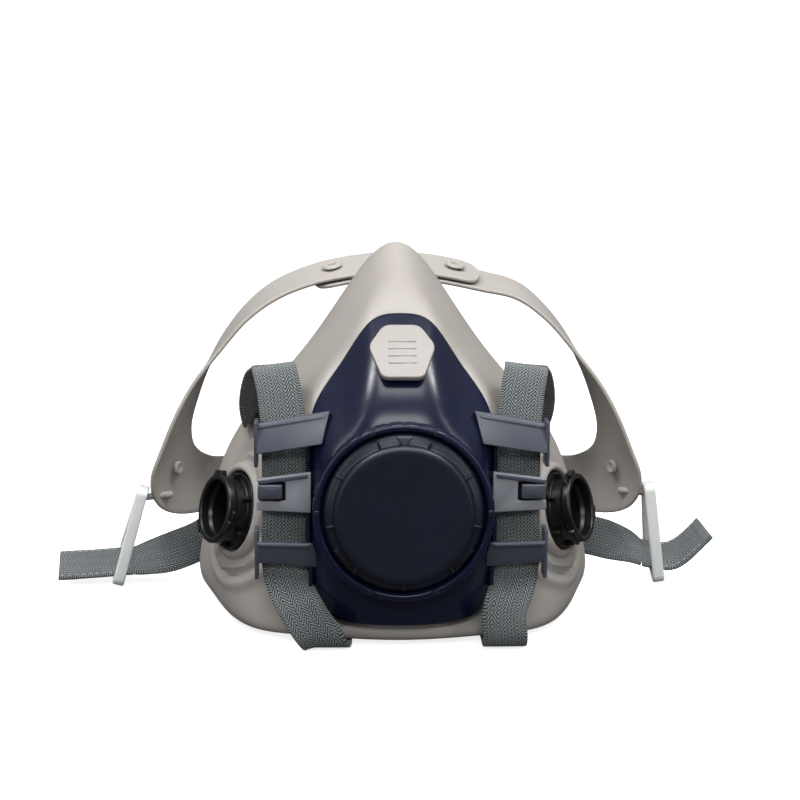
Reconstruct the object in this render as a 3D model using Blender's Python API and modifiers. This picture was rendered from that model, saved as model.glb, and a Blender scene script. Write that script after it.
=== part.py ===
"""Reusable half-face respirator: silicone facepiece, rigid front yoke, exhalation unit,
two bayonet inhalation ports and a strap harness with a plastic head cradle.

Lengths in this file are millimetres until a helper turns them into metres.
X runs to the wearer's left, -Y is the front of the mask and +Z is up.
"""

import math

import bmesh
import bpy
import numpy as np
from mathutils import Matrix, Vector

MM = 0.001
GAP = 0.4
TURN_STEPS = 32

# The assembly is centred over its own footprint and stands on the level FLOOR.
CENTRE_X = -2.6
CENTRE_Y = 84.9
FLOOR = -1.3

# Exhalation unit: the axis points forward at this height.
VALVE_Z = 48.6
HOUSING_R = 29.7
TUBE_R = 22.6
COVER_R = 26.4
COVER_FACE_R = 22.6

# Front yoke shell.
YOKE_WALL = 1.8
YOKE_HOLE_R = 24.2
YOKE_HOLE_Y = 9.5
YOKE_RISE = 1.6
YOKE_ANGLES = (0, 24, 45, 62, 82, 104, 132, 157, 180)
YOKE_EDGE = (
    (0, 41, 109.5),
    (10.5, 38.5, 106.8),
    (20.5, 35, 93),
    (30, 27, 77.5),
    (30.6, 21.5, 57),
    (30.6, 21, 36),
    (29.8, 23, 16),
    (20, 19, 8.3),
    (0, 15, 7.6),
)

# Silicone facepiece.
SILICONE_WALL = 2.4
UNDER_YOKE = 6.2
FACE_CHEEK = (
    (0, 55, 118.5),
    (11, 54, 112.5),
    (25, 50, 93.5),
    (39, 45, 73.5),
    (49.5, 41, 49.5),
    (54.5, 40, 23),
    (51.5, 35, 3.8),
    (33.5, 27.5, 0.8),
    (0, 23.0, 0.2),
)
FACE_SIDE = (
    (0, 70, 125),
    (11.6, 70, 117),
    (28.5, 68, 94),
    (45.5, 68, 71),
    (59, 70, 47.5),
    (66.5, 68, 20),
    (62.5, 64, 2.2),
    (35.5, 52, 0.9),
    (0, 46, 0.9),
)
FACE_REAR = (
    (0, 84, 129.6),
    (12.3, 86, 120.5),
    (30.5, 88, 94),
    (50.5, 90, 70),
    (63.5, 93, 47),
    (70.3, 92, 20),
    (67, 86, 3.6),
    (36, 74, 0.9),
    (0, 66, 0.9),
)
FACE_CENTRE_Z = 56.0

# Inhalation ports.
PORT_POINT = (64.0, 45.0, 41.0)
PORT_YAW = math.radians(62.5)
PORT_PITCH = math.radians(12.5)
PORT_R = 12.0
PORT_BORE_R = 8.7
PORT_NECK_R = 9.9
PORT_SEAT = -11.6

# Webbing and harness.
WEB = 15.0
WEB_THICK = 1.4
STRAP_FOOT = FLOOR + WEB_THICK / 2 + 0.1
NECK_SPLIT = 72.0
CRADLE_X = 1.7
CRADLE_WALL = 1.6
RING_BAND = 4.3
RING_WIRE = 2.0


# ---------------------------------------------------------------- scene helpers


def clear_scene():
    for obj in list(bpy.data.objects):
        bpy.data.objects.remove(obj)


clear_scene()
PARTS = bpy.data.collections.new("respirator")
CUTTERS = bpy.data.collections.new("cutters")
bpy.context.scene.collection.children.link(PARTS)
bpy.context.scene.collection.children.link(CUTTERS)
ASSEMBLY = bpy.data.objects.new("respirator_origin", None)
ASSEMBLY.location = (-CENTRE_X * MM, -CENTRE_Y * MM, -FLOOR * MM)
PARTS.objects.link(ASSEMBLY)


def make_material(name, colour, roughness, metallic=0.0):
    made = bpy.data.materials.new(name)
    made.use_nodes = True
    shader = made.node_tree.nodes["Principled BSDF"]
    shader.inputs["Base Color"].default_value = (*colour, 1.0)
    shader.inputs["Roughness"].default_value = roughness
    shader.inputs["Metallic"].default_value = metallic
    return made


SILICONE = make_material("taupe_silicone", (0.50, 0.46, 0.42), 0.55)
NAVY = make_material("navy_plastic", (0.015, 0.022, 0.065), 0.28)
BLACK = make_material("black_plastic", (0.012, 0.012, 0.013), 0.35)
RUBBER = make_material("valve_rubber", (0.45, 0.10, 0.05), 0.6)
SEAL = make_material("seal_rubber", (0.03, 0.03, 0.03), 0.7)
BADGE = make_material("badge_silicone", (0.56, 0.52, 0.48), 0.5)
WEBBING = make_material("grey_green_webbing", (0.16, 0.19, 0.18), 0.9)
CRADLE = make_material("grey_cradle_plastic", (0.33, 0.32, 0.31), 0.5)
CLEAR = make_material("translucent_plastic", (0.85, 0.87, 0.88), 0.25)


def place(obj, shade, pivot=(0, 0, 0), cutter=False):
    """Files an object under its collection and parent, at a point given in millimetres."""
    if cutter:
        CUTTERS.objects.link(obj)
        obj.hide_render = True
        obj.display_type = "WIRE"
    else:
        PARTS.objects.link(obj)
        obj.data.materials.append(shade)
    obj.parent = ASSEMBLY
    obj.location = Vector(pivot) * MM
    return obj


def mesh_from(name, points, faces, shade, pivot=(0, 0, 0), cutter=False):
    mesh = bpy.data.meshes.new(name)
    origin = np.array(pivot, float)
    mesh.from_pydata([tuple((np.array(p, float) - origin) * MM) for p in points], [], faces)
    mesh.validate()
    return place(bpy.data.objects.new(name, mesh), shade, pivot, cutter)


def mesh_from_bm(name, bm, shade, pivot=(0, 0, 0), cutter=False):
    mesh = bpy.data.meshes.new(name)
    bm.to_mesh(mesh)
    bm.free()
    return place(bpy.data.objects.new(name, mesh), shade, pivot, cutter)


def smooth_shade(obj, degrees=35):
    obj.data.shade_smooth()
    obj.data.set_sharp_from_angle(angle=math.radians(degrees))


def boolean(obj, tool, operation="DIFFERENCE"):
    step = obj.modifiers.new(tool.name, "BOOLEAN")
    step.object = tool
    step.operation = operation


def subdivide(obj, levels):
    step = obj.modifiers.new("Subdivision", "SUBSURF")
    step.levels = levels
    step.render_levels = levels


def box(name, low, high, shade=None, pivot=(0, 0, 0), cutter=False):
    """A box between two corners."""
    low = np.array(low, float)
    high = np.array(high, float)
    bm = bmesh.new()
    middle = ((low + high) / 2 - np.array(pivot)) * MM
    matrix = Matrix.Translation(middle) @ Matrix.Diagonal((*((high - low) * MM), 1.0))
    bmesh.ops.create_cube(bm, size=1.0, matrix=matrix)
    return mesh_from_bm(name, bm, shade, pivot, cutter)


def wedge(name, front, back, shade=None, cutter=True):
    """A block with six free faces: four front corners and the four behind them, in order."""
    points = list(front) + list(back)
    faces = [(3, 2, 1, 0), (4, 5, 6, 7)]
    faces += [(i, (i + 1) % 4, 4 + (i + 1) % 4, 4 + i) for i in range(4)]
    obj = mesh_from(name, points, faces, shade, cutter=cutter)
    face_out(obj)
    return obj


def face_out(obj):
    bm = bmesh.new()
    bm.from_mesh(obj.data)
    bmesh.ops.recalc_face_normals(bm, faces=bm.faces)
    bm.to_mesh(obj.data)
    bm.free()


def cylinder(name, radius, start, end, shade=None, cutter=True, segments=TURN_STEPS):
    """A round bar between two points."""
    start = Vector(start)
    end = Vector(end)
    bm = bmesh.new()
    bmesh.ops.create_cone(
        bm,
        cap_ends=True,
        segments=segments,
        radius1=radius * MM,
        radius2=radius * MM,
        depth=(end - start).length * MM,
    )
    obj = mesh_from_bm(name, bm, shade, (start + end) / 2, cutter)
    obj.rotation_euler = (end - start).to_track_quat("Z", "Y").to_euler()
    return obj


def turned(name, profile, shade, origin, axis, solid=False, cutter=False, steps=TURN_STEPS):
    """A profile of (radius, height) turned about an axis through origin.

    A solid profile starts and ends on the axis; otherwise it is a closed loop.
    """
    count = len(profile)
    mesh = bpy.data.meshes.new(name)
    edges = [(i, i + 1) for i in range(count - 1)]
    if not solid:
        edges.append((count - 1, 0))
    mesh.from_pydata([(r * MM, 0, h * MM) for r, h in profile], edges, [])
    obj = place(bpy.data.objects.new(name, mesh), shade, origin, cutter)
    obj.rotation_euler = Vector(axis).to_track_quat("Z", "Y").to_euler()
    screw = obj.modifiers.new("Turn", "SCREW")
    screw.axis = "Z"
    screw.steps = steps
    screw.render_steps = steps
    screw.use_merge_vertices = True
    screw.merge_threshold = 0.00001
    screw.use_normal_calculate = False
    return obj


# ---------------------------------------------------------------- curves and lofts


def smooth_path(keys, per_span):
    """Catmull-Rom curve through rows of numbers."""
    keys = np.array(keys, float)
    padded = np.vstack([2 * keys[0] - keys[1], keys, 2 * keys[-1] - keys[-2]])
    rows = []
    for i in range(1, len(padded) - 2):
        a, b, c, d = padded[i - 1 : i + 3]
        for step in range(per_span):
            t = step / per_span
            rows.append(
                0.5 * (2 * b + (c - a) * t + (2 * a - 5 * b + 4 * c - d) * t**2
                       + (3 * b - 3 * c + d - a) * t**3)
            )
    rows.append(keys[-1])
    return np.array(rows)


def unit(vectors):
    return vectors / np.linalg.norm(vectors, axis=-1, keepdims=True)


def skin(name, rings, shade, closed=False, pivot=(0, 0, 0)):
    """Joins rings of equal length into one solid, capped unless it closes on itself."""
    count, around = len(rings), len(rings[0])
    points = [tuple(p) for ring in rings for p in ring]
    faces = []
    for i in range(count if closed else count - 1):
        j = (i + 1) % count
        for k in range(around):
            n = (k + 1) % around
            faces.append((i * around + k, i * around + n, j * around + n, j * around + k))
    if not closed:
        faces.append(tuple(range(around))[::-1])
        faces.append(tuple((count - 1) * around + k for k in range(around)))
    obj = mesh_from(name, points, faces, shade, pivot)
    face_out(obj)
    return obj


def plate_rings(edge_a, edge_b, thickness, closed=False):
    """Cross-sections of a flat band between two edge curves."""
    edge_a = np.array(edge_a, float)
    edge_b = np.array(edge_b, float)
    middle = (edge_a + edge_b) / 2
    if closed:
        along = np.roll(middle, -1, 0) - np.roll(middle, 1, 0)
    else:
        along = np.gradient(middle, axis=0)
    normal = unit(np.cross(along, edge_b - edge_a)) * thickness / 2
    return np.stack([edge_a - normal, edge_b - normal, edge_b + normal, edge_a + normal], 1)


def webbing(name, keys, per_span, pivot=(0, 0, 0)):
    """A strap through keys of (x, y, z, width direction x, y, z)."""
    rows = smooth_path(keys, per_span)
    across = unit(rows[:, 3:6]) * WEB / 2
    middle = rows[:, :3]
    rings = plate_rings(middle - across, middle + across, WEB_THICK)
    return skin(name, rings, WEBBING, pivot=pivot)


def ring_of(half):
    """A whole contour from its right half, listed from the top to the bottom."""
    half = [tuple(p) for p in half]
    return half + [(-x, y, z) for x, y, z in reversed(half[1:-1])]


def limit_cage(rows):
    """Control points whose subdivided limit surface passes through a grid of points."""
    stations, around, _ = rows.shape
    ring = np.eye(around) * 2 / 3
    ring += (np.roll(np.eye(around), 1, 0) + np.roll(np.eye(around), -1, 0)) / 6
    along = np.eye(stations) * 2 / 3 + (np.eye(stations, k=1) + np.eye(stations, k=-1)) / 6
    along[0] = np.eye(stations)[0]
    along[-1] = np.eye(stations)[-1]
    cage = np.linalg.solve(along, rows.reshape(stations, -1)).reshape(rows.shape)
    cage = cage.transpose(1, 0, 2).reshape(around, -1)
    return np.linalg.solve(ring, cage).reshape(around, stations, 3).transpose(1, 0, 2)


def shell(name, stations, wall, shade):
    """A subdivided open surface through contours, thickened inward."""
    cage = limit_cage(np.array([ring_of(half) for half in stations], float))
    count, around, _ = cage.shape
    faces = []
    for i in range(count - 1):
        for k in range(around):
            n = (k + 1) % around
            low, high = i * around, (i + 1) * around
            faces.append((low + k, low + n, high + n, high + k))
    obj = mesh_from(name, cage.reshape(-1, 3), faces, shade)
    subdivide(obj, 1)
    thick = obj.modifiers.new("Wall", "SOLIDIFY")
    thick.thickness = wall * MM
    thick.offset = -1.0
    return obj


# ---------------------------------------------------------------- front surfaces


def front_contour(t, behind=0.0, hole_r=YOKE_HOLE_R):
    """Half contour of the mask's front, from the valve hole (t=0) to the yoke's edge (t=1)."""
    half = []
    for angle, (x, y, z) in zip(YOKE_ANGLES, YOKE_EDGE):
        turn = math.radians(angle)
        hole_x = hole_r * math.sin(turn)
        hole_z = VALVE_Z + hole_r * math.cos(turn)
        depth = YOKE_HOLE_Y + (y - YOKE_HOLE_Y) * t**YOKE_RISE
        half.append((hole_x + (x - hole_x) * t, depth + behind, hole_z + (z - hole_z) * t))
    return half


def face_stations():
    """Half contours of the facepiece, from the valve hole to the inner sealing lip."""
    stations = [front_contour(t, UNDER_YOKE, hole_r=24.2) for t in (0.0, 0.4, 0.8)]
    rim = []
    for x, y, z in YOKE_EDGE:
        away = math.hypot(x, z - VALVE_Z)
        rim.append((x * (1 + 1.5 / away), y + 4.4, VALVE_Z + (z - VALVE_Z) * (1 + 1.5 / away)))
    stations.append(rim)
    stations += [FACE_CHEEK, FACE_SIDE, FACE_REAR]
    for scale, back in ((0.89, 7.0), (0.76, 4.5)):
        stations.append(
            [(x * scale, y + back, FACE_CENTRE_Z + (z - FACE_CENTRE_Z) * scale)
             for x, y, z in FACE_REAR]
        )
    return stations


def port_frame(side):
    """Rim centre and outward axis of a port; side is 1 on the right, -1 on the left."""
    point = np.array([side * PORT_POINT[0], PORT_POINT[1], PORT_POINT[2]])
    axis = np.array(
        [
            side * math.sin(PORT_YAW) * math.cos(PORT_PITCH),
            -math.cos(PORT_YAW) * math.cos(PORT_PITCH),
            math.sin(PORT_PITCH),
        ]
    )
    return point, axis


def make_facepiece():
    face = shell("facepiece", face_stations(), SILICONE_WALL, SILICONE)
    for side, word in ((-1, "left"), (1, "right")):
        point, axis = port_frame(side)
        boss = turned(
            f"port_boss_{word}",
            [(17.0, PORT_SEAT), (17.5, PORT_SEAT - 0.8), (17.5, PORT_SEAT - 5.0),
             (9.0, PORT_SEAT - 5.0), (9.0, PORT_SEAT)],
            None, point, axis, cutter=True,
        )
        well = turned(
            f"port_well_{word}",
            [(0, 12), (16.2, 12), (16.2, PORT_SEAT + 0.1), (PORT_NECK_R + GAP, PORT_SEAT + 0.1),
             (PORT_NECK_R + GAP, PORT_SEAT - 15), (0, PORT_SEAT - 15)],
            None, point, axis, solid=True, cutter=True,
        )
        boolean(face, boss, "UNION")
        boolean(face, well)
    smooth_shade(face)


# ---------------------------------------------------------------- front yoke


GUIDE_BARS = {
    # (inner top, inner bottom, outer bottom, outer top) as (x, y, z)
    "top": ((24, 19.4, 79.5), (26.5, 14.9, 69.3), (48.2, 17.8, 65.4), (48.2, 21.2, 75.0)),
    "mid": ((30.2, 17.6, 59.4), (30.2, 17.6, 45.6), (48.2, 18.4, 46.4), (48.2, 18.4, 56.9)),
    "low": ((29.8, 16.0, 35.5), (26.4, 18.0, 26.8), (48.2, 18.6, 28.4), (48.2, 17.0, 35.7)),
}
BAR_THICK = 2.3
SLOT_LOW = (38.6, 10, 49.6)
SLOT_HIGH = (47.0, 26, 56.0)
TAB_LOW = (40.4, 17.6, 51.2)
TAB_HIGH = (46.6, 19.8, 54.8)


def mirrored(point, side):
    return (point[0] * side, point[1], point[2])


def make_yoke():
    yoke = shell("front_yoke", [front_contour(t) for t in (0.0, 0.3, 0.65, 1.0)], YOKE_WALL, NAVY)
    for side, word in ((-1, "left"), (1, "right")):
        for row, corners in GUIDE_BARS.items():
            front = [mirrored(p, side) for p in corners]
            back = [(x, y + BAR_THICK, z) for x, y, z in front]
            bar = wedge(f"guide_{row}_{word}", front, back)
            if row == "mid":
                low = mirrored(SLOT_LOW, side)
                high = mirrored(SLOT_HIGH, side)
                slot = box(f"tab_slot_{word}", np.minimum(low, high), np.maximum(low, high),
                           cutter=True)
                boolean(bar, slot)
            boolean(yoke, bar, "UNION")
        rail_x = sorted((side * 47.7, side * 49.0))
        rail = box(f"guide_rail_{word}", (rail_x[0], 19.6, 23.5), (rail_x[1], 27.0, 76.0),
                   cutter=True)
        boolean(yoke, rail, "UNION")
    smooth_shade(yoke)


def make_tabs():
    for side, word in ((-1, "left"), (1, "right")):
        low = mirrored(TAB_LOW, side)
        high = mirrored(TAB_HIGH, side)
        box(f"strap_lock_tab_{word}", np.minimum(low, high), np.maximum(low, high), NAVY,
            pivot=(side * TAB_HIGH[0], 18.7, 53.0))


def make_badge():
    """Six-sided soft badge lying on the yoke's ridge."""
    outline = ((-6.0, 11.2), (6.0, 11.2), (11.2, 2.6), (6.8, -11.0), (-6.8, -11.0), (-11.2, 2.6))
    curve = bpy.data.curves.new("size_badge", "CURVE")
    curve.dimensions = "2D"
    curve.fill_mode = "BOTH"
    curve.extrude = 0.9 * MM
    spline = curve.splines.new("POLY")
    spline.points.add(len(outline) - 1)
    for dot, (x, y) in zip(spline.points, outline):
        dot.co = (x * MM, y * MM, 0, 1)
    spline.use_cyclic_u = True
    obj = place(bpy.data.objects.new("size_badge", curve), BADGE, (0, 23.8, 98.4))
    obj.rotation_euler = (math.radians(90 - 47), 0, 0)


# ---------------------------------------------------------------- exhalation unit


FORWARD = (0, -1, 0)
VALVE_ORIGIN = (0, 0, VALVE_Z)


def spokes(name, target, radius, low, high, origin, axis):
    """Crosses a bore with two bars and a hub, drilled for the stem of a valve flap."""
    turn = Vector(axis).to_track_quat("Z", "Y").to_euler()
    for number, (wide, deep) in enumerate(((radius, 1.0), (1.0, radius))):
        bar = box(f"{name}_spoke_{number}", (-wide, -deep, low), (wide, deep, high), cutter=True)
        bar.location = Vector(origin) * MM
        bar.rotation_euler = turn
        boolean(target, bar, "UNION")
    hub = turned(f"{name}_hub", [(0, high + 0.2), (3.0, high + 0.2), (3.0, low), (0, low)],
                 None, origin, axis, solid=True, cutter=True, steps=16)
    hole = turned(f"{name}_stem_hole", [(0, high + 2), (1.5, high + 2), (1.5, low - 2), (0, low - 2)],
                  None, origin, axis, solid=True, cutter=True, steps=16)
    boolean(target, hub, "UNION")
    boolean(target, hole)


def flap_profile(radius, disc_low, disc_high, stem_end):
    """A thin disc with a stem through the hub behind it."""
    return [(0, disc_high), (radius, disc_high), (radius, disc_low), (1.1, disc_low),
            (1.1, stem_end), (0, stem_end)]


def make_exhalation_unit():
    housing = turned(
        "exhalation_housing",
        [(29.1, -3.6), (HOUSING_R, -4.3), (HOUSING_R, -8.7), (TUBE_R, -8.7), (TUBE_R, -25),
         (20.2, -25), (20.2, -7.1), (27.1, -7.1), (27.1, -4.3), (27.7, -3.6)],
        NAVY, VALVE_ORIGIN, FORWARD,
    )
    cover = turned(
        "exhalation_cover",
        [(0, 0), (21.8, 0), (COVER_FACE_R, -0.8), (23.1, -3.2), (25.8, -4.4), (COVER_R, -5.2),
         (COVER_R, -6.7), (24.4, -6.7), (21.4, -3.4), (19.5, -2.0), (0, -2.0)],
        NAVY, VALVE_ORIGIN, FORWARD, solid=True,
    )
    for number, degrees in enumerate((218, 322)):
        turn = math.radians(degrees)
        slot = box(f"cover_slot_{number}", (-4.5, -0.9, -12), (4.5, 0.9, 12), cutter=True)
        slot.location = Vector((25.0 * math.cos(turn), 0, VALVE_Z + 25.0 * math.sin(turn))) * MM
        slot.rotation_euler = Vector(FORWARD).to_track_quat("Z", "Y").to_euler()
        slot.rotation_euler.rotate_axis("Z", math.radians(degrees + 90))
        boolean(cover, slot)
    seat = turned("exhalation_valve_seat",
                  [(19.7, -17.2), (19.7, -20.2), (16.0, -20.2), (16.0, -17.2)],
                  BLACK, VALVE_ORIGIN, FORWARD)
    spokes("exhalation_seat", seat, 17.0, -20.2, -18.2, VALVE_ORIGIN, FORWARD)
    flap = turned("exhalation_valve_flap", flap_profile(18.2, -16.8, -16.1, -22.5),
                  RUBBER, VALVE_ORIGIN, FORWARD, solid=True)
    clamp = turned("facepiece_clamp_ring",
                   [(25.6, -22.1), (25.6, -24.6), (TUBE_R + GAP, -24.6), (TUBE_R + GAP, -22.1)],
                   BLACK, VALVE_ORIGIN, FORWARD)
    for obj in (housing, cover, seat, flap, clamp):
        smooth_shade(obj)


# ---------------------------------------------------------------- inhalation ports


def make_port(side, word):
    point, axis = port_frame(side)
    body = turned(
        f"inhalation_port_{word}",
        [(PORT_R - 0.4, 0), (PORT_R, -0.5), (PORT_R, -3.0), (10.9, -3.6), (10.9, -7.9),
         (13.3, -8.2), (13.3, -9.9), (PORT_NECK_R, -9.9), (PORT_NECK_R, -20.4),
         (PORT_BORE_R, -20.4), (PORT_BORE_R, -1.5), (PORT_R - 1.7, 0)],
        BLACK, point, axis,
    )
    for number in range(3):
        turn = math.radians(100 + 120 * number)
        lug = box(f"port_lug_{word}_{number}", (10.4, -2.6, -2.6), (13.4, 2.6, -0.2), cutter=True)
        frame = Vector(axis).to_track_quat("Z", "Y").to_matrix() @ Matrix.Rotation(turn, 3, "Z")
        lug.location = Vector(point) * MM
        lug.rotation_euler = frame.to_euler()
        boolean(body, lug, "UNION")
    spokes(f"port_{word}", body, 9.2, -20.4, -18.8, point, axis)
    gasket = turned(
        f"port_gasket_{word}",
        [(13.4, -10.2), (13.8, -10.6), (13.8, -11.2), (PORT_NECK_R + GAP, -11.2),
         (PORT_NECK_R + GAP, -10.2)],
        SEAL, point, axis,
    )
    retainer = turned(
        f"port_retainer_{word}",
        [(13.6, -17.0), (13.6, -19.4), (PORT_NECK_R + GAP, -19.4), (PORT_NECK_R + GAP, -17.0)],
        BLACK, point, axis,
    )
    flap = turned(
        f"inhalation_valve_flap_{word}",
        [(0, -15.6), (1.1, -15.6), (1.1, -20.8), (9.5, -20.8), (9.5, -21.4), (0, -21.4)],
        RUBBER, point, axis, solid=True,
    )
    for obj in (body, gasket, retainer, flap):
        smooth_shade(obj)


# ---------------------------------------------------------------- harness


STRAP_SIDES = {
    # chin: where the strap turns under the chin; ring: front lower corner of the strap ring;
    # pin: the cradle pin on which the ring hangs; lift: how far the strap rises at the ring
    "left": {"side": -1, "chin": -24.0, "ring": (-103.0, 98.0), "pin": (-91.8, 98.0, 32.5),
             "lift": 0.0},
    "right": {"side": 1, "chin": 35.0, "ring": (101.5, 99.0), "pin": (95.4, 99.0, 33.5),
              "lift": 2.0},
}


def neck_strap_keys(side, end=NECK_SPLIT):
    """From the neck clasp forward along the floor."""
    s = side
    return [
        (s * 19.8, 113.0, STRAP_FOOT + 1.0, 0, 1, 0),
        (s * 26.0, 107.5, STRAP_FOOT + 0.3, s * 0.62, 0.78, 0),
        (s * 31.0, 92.0, STRAP_FOOT, s * 1, 0.2, 0),
        (s * 32.5, end, STRAP_FOOT, s * 1, 0, 0),
    ]


def front_strap_keys(side, chin):
    """On along the floor, up under the guide bars and over the top loop."""
    s = side
    foot = STRAP_FOOT
    guide = s * 34.5
    return [
        (s * 32.5, NECK_SPLIT, foot, s * 1, 0, 0),
        ((chin + s * 32.5) / 2, 50.0, foot, s * 1, 0, 0),
        (chin, 31.0, foot, s * 1, 0, 0),
        (chin + (guide - chin) * 0.04, 18.6, foot + 0.2, s * 1, 0, 0),
        (chin + (guide - chin) * 0.25, 14.2, 3.4, s * 1, 0, 0.05),
        (chin + (guide - chin) * 0.85, 15.6, 12.5, s * 1, 0, -0.12),
        (s * 38.9, 22.0, 25.0, s * 1, 0, -0.04),
        (s * 39.1, 23.4, 48.0, s * 1, 0, 0),
        (s * 39.3, 25.6, 70.0, s * 1, 0, 0),
        (s * 40.6, 29.4, 83.0, s * 1, 0, -0.1),
        (s * 42.3, 34.0, 90.6, s * 1, 0, -0.12),
        (s * 43.0, 40.0, 91.6, s * 1, 0, -0.12),
    ]


def rear_strap_keys(side, ring, lift):
    """From the top loop over the shoulder of the facepiece, down behind it and out to the ring."""
    s = side
    rx, ry = ring
    return [
        (s * 43.1, 41.0, 91.5, s * 1, 0, -0.12),
        (s * 45.6, 50.5, 87.6, s * 1, 0, -0.16),
        (s * 48.2, 59.0, 79.6, s * 0.9, 0, -0.42),
        (s * 49.6, 68.5, 71.0, s * 0.62, 0, -0.78),
        (s * 50.0, 79.0, 71.5, s * 0.6, 0, -0.8),
        (s * 49.2, 89.0, 75.0, s * 0.66, 0, -0.75),
        (s * 47.6, 98.6, 72.6, s * 0.74, 0, -0.67),
        (s * 45.6, 105.5, 63.5, s * 0.87, 0, -0.48),
        (s * 44.6, 109.0, 52.0, s * 1, 0, -0.08),
        (s * 48.0, 110.0, 39.0, s * 0.86, 0, 0.5),
        (s * 57.5, 109.0, 25.5 + lift / 2, s * 0.55, 0, 0.83),
        (s * 70.0, 106.0, 15.8 + lift, s * 0.2, 0, 0.98),
        (rx - s * 21, ry + 5.6, 10.8 + lift * 2, 0, 0.3, 0.95),
        (rx - s * 11.5, ry + 5.8, 8.2 + lift * 1.8, 0, 0.7, 0.72),
        (rx - s * 5.8, ry + 6.2, 6.9 + lift, 0, 0.87, 0.5),
    ]


def tail_keys(side, ring, lift):
    """From the ring to the hemmed end: the left tail lies straight, the right one curls up."""
    s = side
    rx, ry = ring
    here = (0, 0.87, 0.5)
    start = (rx - s * 4.0, ry + 6.2, 6.8 + lift, *here)
    if side < 0:
        return [start, (rx + s * 8, ry + 6.2, 5.8, *here), (rx + s * 22.5, ry + 5.8, 5.0, *here)]
    return [
        start,
        (rx + s * 3.5, ry + 6.2, 7.4, *here),
        (rx + s * 9.0, ry + 6.2, 9.4, *here),
        (rx + s * 14.0, ry + 5.8, 14.0, *here),
        (rx + s * 18.4, ry + 5.4, 18.8, *here),
    ]


CRADLE_FRONT = (
    (0, 104, 116.5), (16, 104, 115), (31, 104, 112), (44.5, 103, 106.8), (56, 101, 98.8),
    (66, 99.5, 87.5), (75.5, 97, 75.5), (82, 95, 64), (87.5, 94, 51), (91, 94, 41.5),
    (91, 97.5, 33), (87.5, 103.5, 26.5), (80, 114, 22.5), (67, 134, 20.5), (46, 153, 20.3),
    (23, 163, 20.4),
)
CRADLE_REAR = (
    (0, 127, 121.5), (15, 127, 120.3), (31, 126, 117), (46, 125, 110.6), (56.5, 123.5, 102),
    (65, 121.5, 91), (71.5, 120, 78.5), (75.5, 119.3, 67.5), (78, 119, 58), (78, 120.5, 51),
    (76.5, 124, 46.5), (73.5, 130.5, 42.8), (69, 139, 40), (59, 150.5, 39), (42, 161, 38.5),
    (21, 167, 38.5),
)
CRADLE_BACK = ((0, 166, 20.5), (0, 169, 38.5))
SNAP_X = (-24.0, 21.7)
LAYER_DROP = 2.2


def arm_over(table, side, drop):
    """The stretch of an arm that crosses the top to the far side, lowered by a layer."""
    far = [(-side * x, y, z - drop) for x, y, z in table[2:0:-1]]
    near = [(side * x, y, z - drop) for x, y, z in table[:3]]
    return far + near


def cradle_edge(table, back):
    """One edge of the whole band: the outer arm's end, round the back, to the inner arm's end."""
    left_top = arm_over(table, -1, 0.0)
    left_side = [(-x, y, z) for x, y, z in table[3:]]
    right_side = [(x, y, z) for x, y, z in reversed(table[3:])]
    right_top = [(x, y, z) for x, y, z in reversed(arm_over(table, 1, LAYER_DROP))]
    return [(x + CRADLE_X, y, z) for x, y, z in left_top + left_side + [back] + right_side + right_top]


def make_cradle():
    front = smooth_path(cradle_edge(CRADLE_FRONT, CRADLE_BACK[0]), 2)
    rear = smooth_path(cradle_edge(CRADLE_REAR, CRADLE_BACK[1]), 2)
    cradle = skin("head_cradle", plate_rings(front, rear, CRADLE_WALL), CRADLE)
    for number, x in enumerate(SNAP_X):
        up = Vector((math.copysign(0.2, x), -0.22, 0.95)).normalized()
        middle = Vector((x + CRADLE_X, 115.3, 121.1 - 0.205 * abs(x)))
        hole = cylinder(f"snap_hole_{number}", 2.4, middle - up * 8, middle + up * 6, segments=16)
        boolean(cradle, hole)
        stud = turned(
            f"cradle_snap_stud_{number + 1}",
            [(0, 1.3), (1.4, 1.3), (1.6, 2.4), (3.6, 2.4), (3.8, 1.5), (1.9, 1.5), (1.9, -3.9),
             (3.2, -3.9), (3.0, -5.0), (0, -5.0)],
            CRADLE, middle, up, solid=True, steps=16,
        )
        smooth_shade(stud)
    for word, data in STRAP_SIDES.items():
        pin = Vector(data["pin"])
        side = data["side"]
        lug = cylinder(f"ring_pin_{word}", 1.3, pin - Vector((side * 9, -6, 0)),
                       pin + Vector((side * 3.6, 0, 0)), segments=12)
        boolean(cradle, lug, "UNION")
    smooth_shade(cradle, 40)


def rounded_loop(corners, radius, steps=4):
    """A closed polygon with each corner replaced by an arc."""
    corners = np.array(corners, float)
    points = []
    for i, corner in enumerate(corners):
        before = unit(corners[i - 1] - corner)
        after = unit(corners[(i + 1) % len(corners)] - corner)
        half = math.acos(float(np.clip(before @ after, -1, 1))) / 2
        reach = radius / math.tan(half)
        centre = corner + unit(before + after) * radius / math.sin(half)
        start = corner + before * reach - centre
        end = corner + after * reach - centre
        for step in range(steps + 1):
            t = step / steps
            points.append(centre + unit(start * (1 - t) + end * t) * radius)
    return np.array(points)


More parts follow.
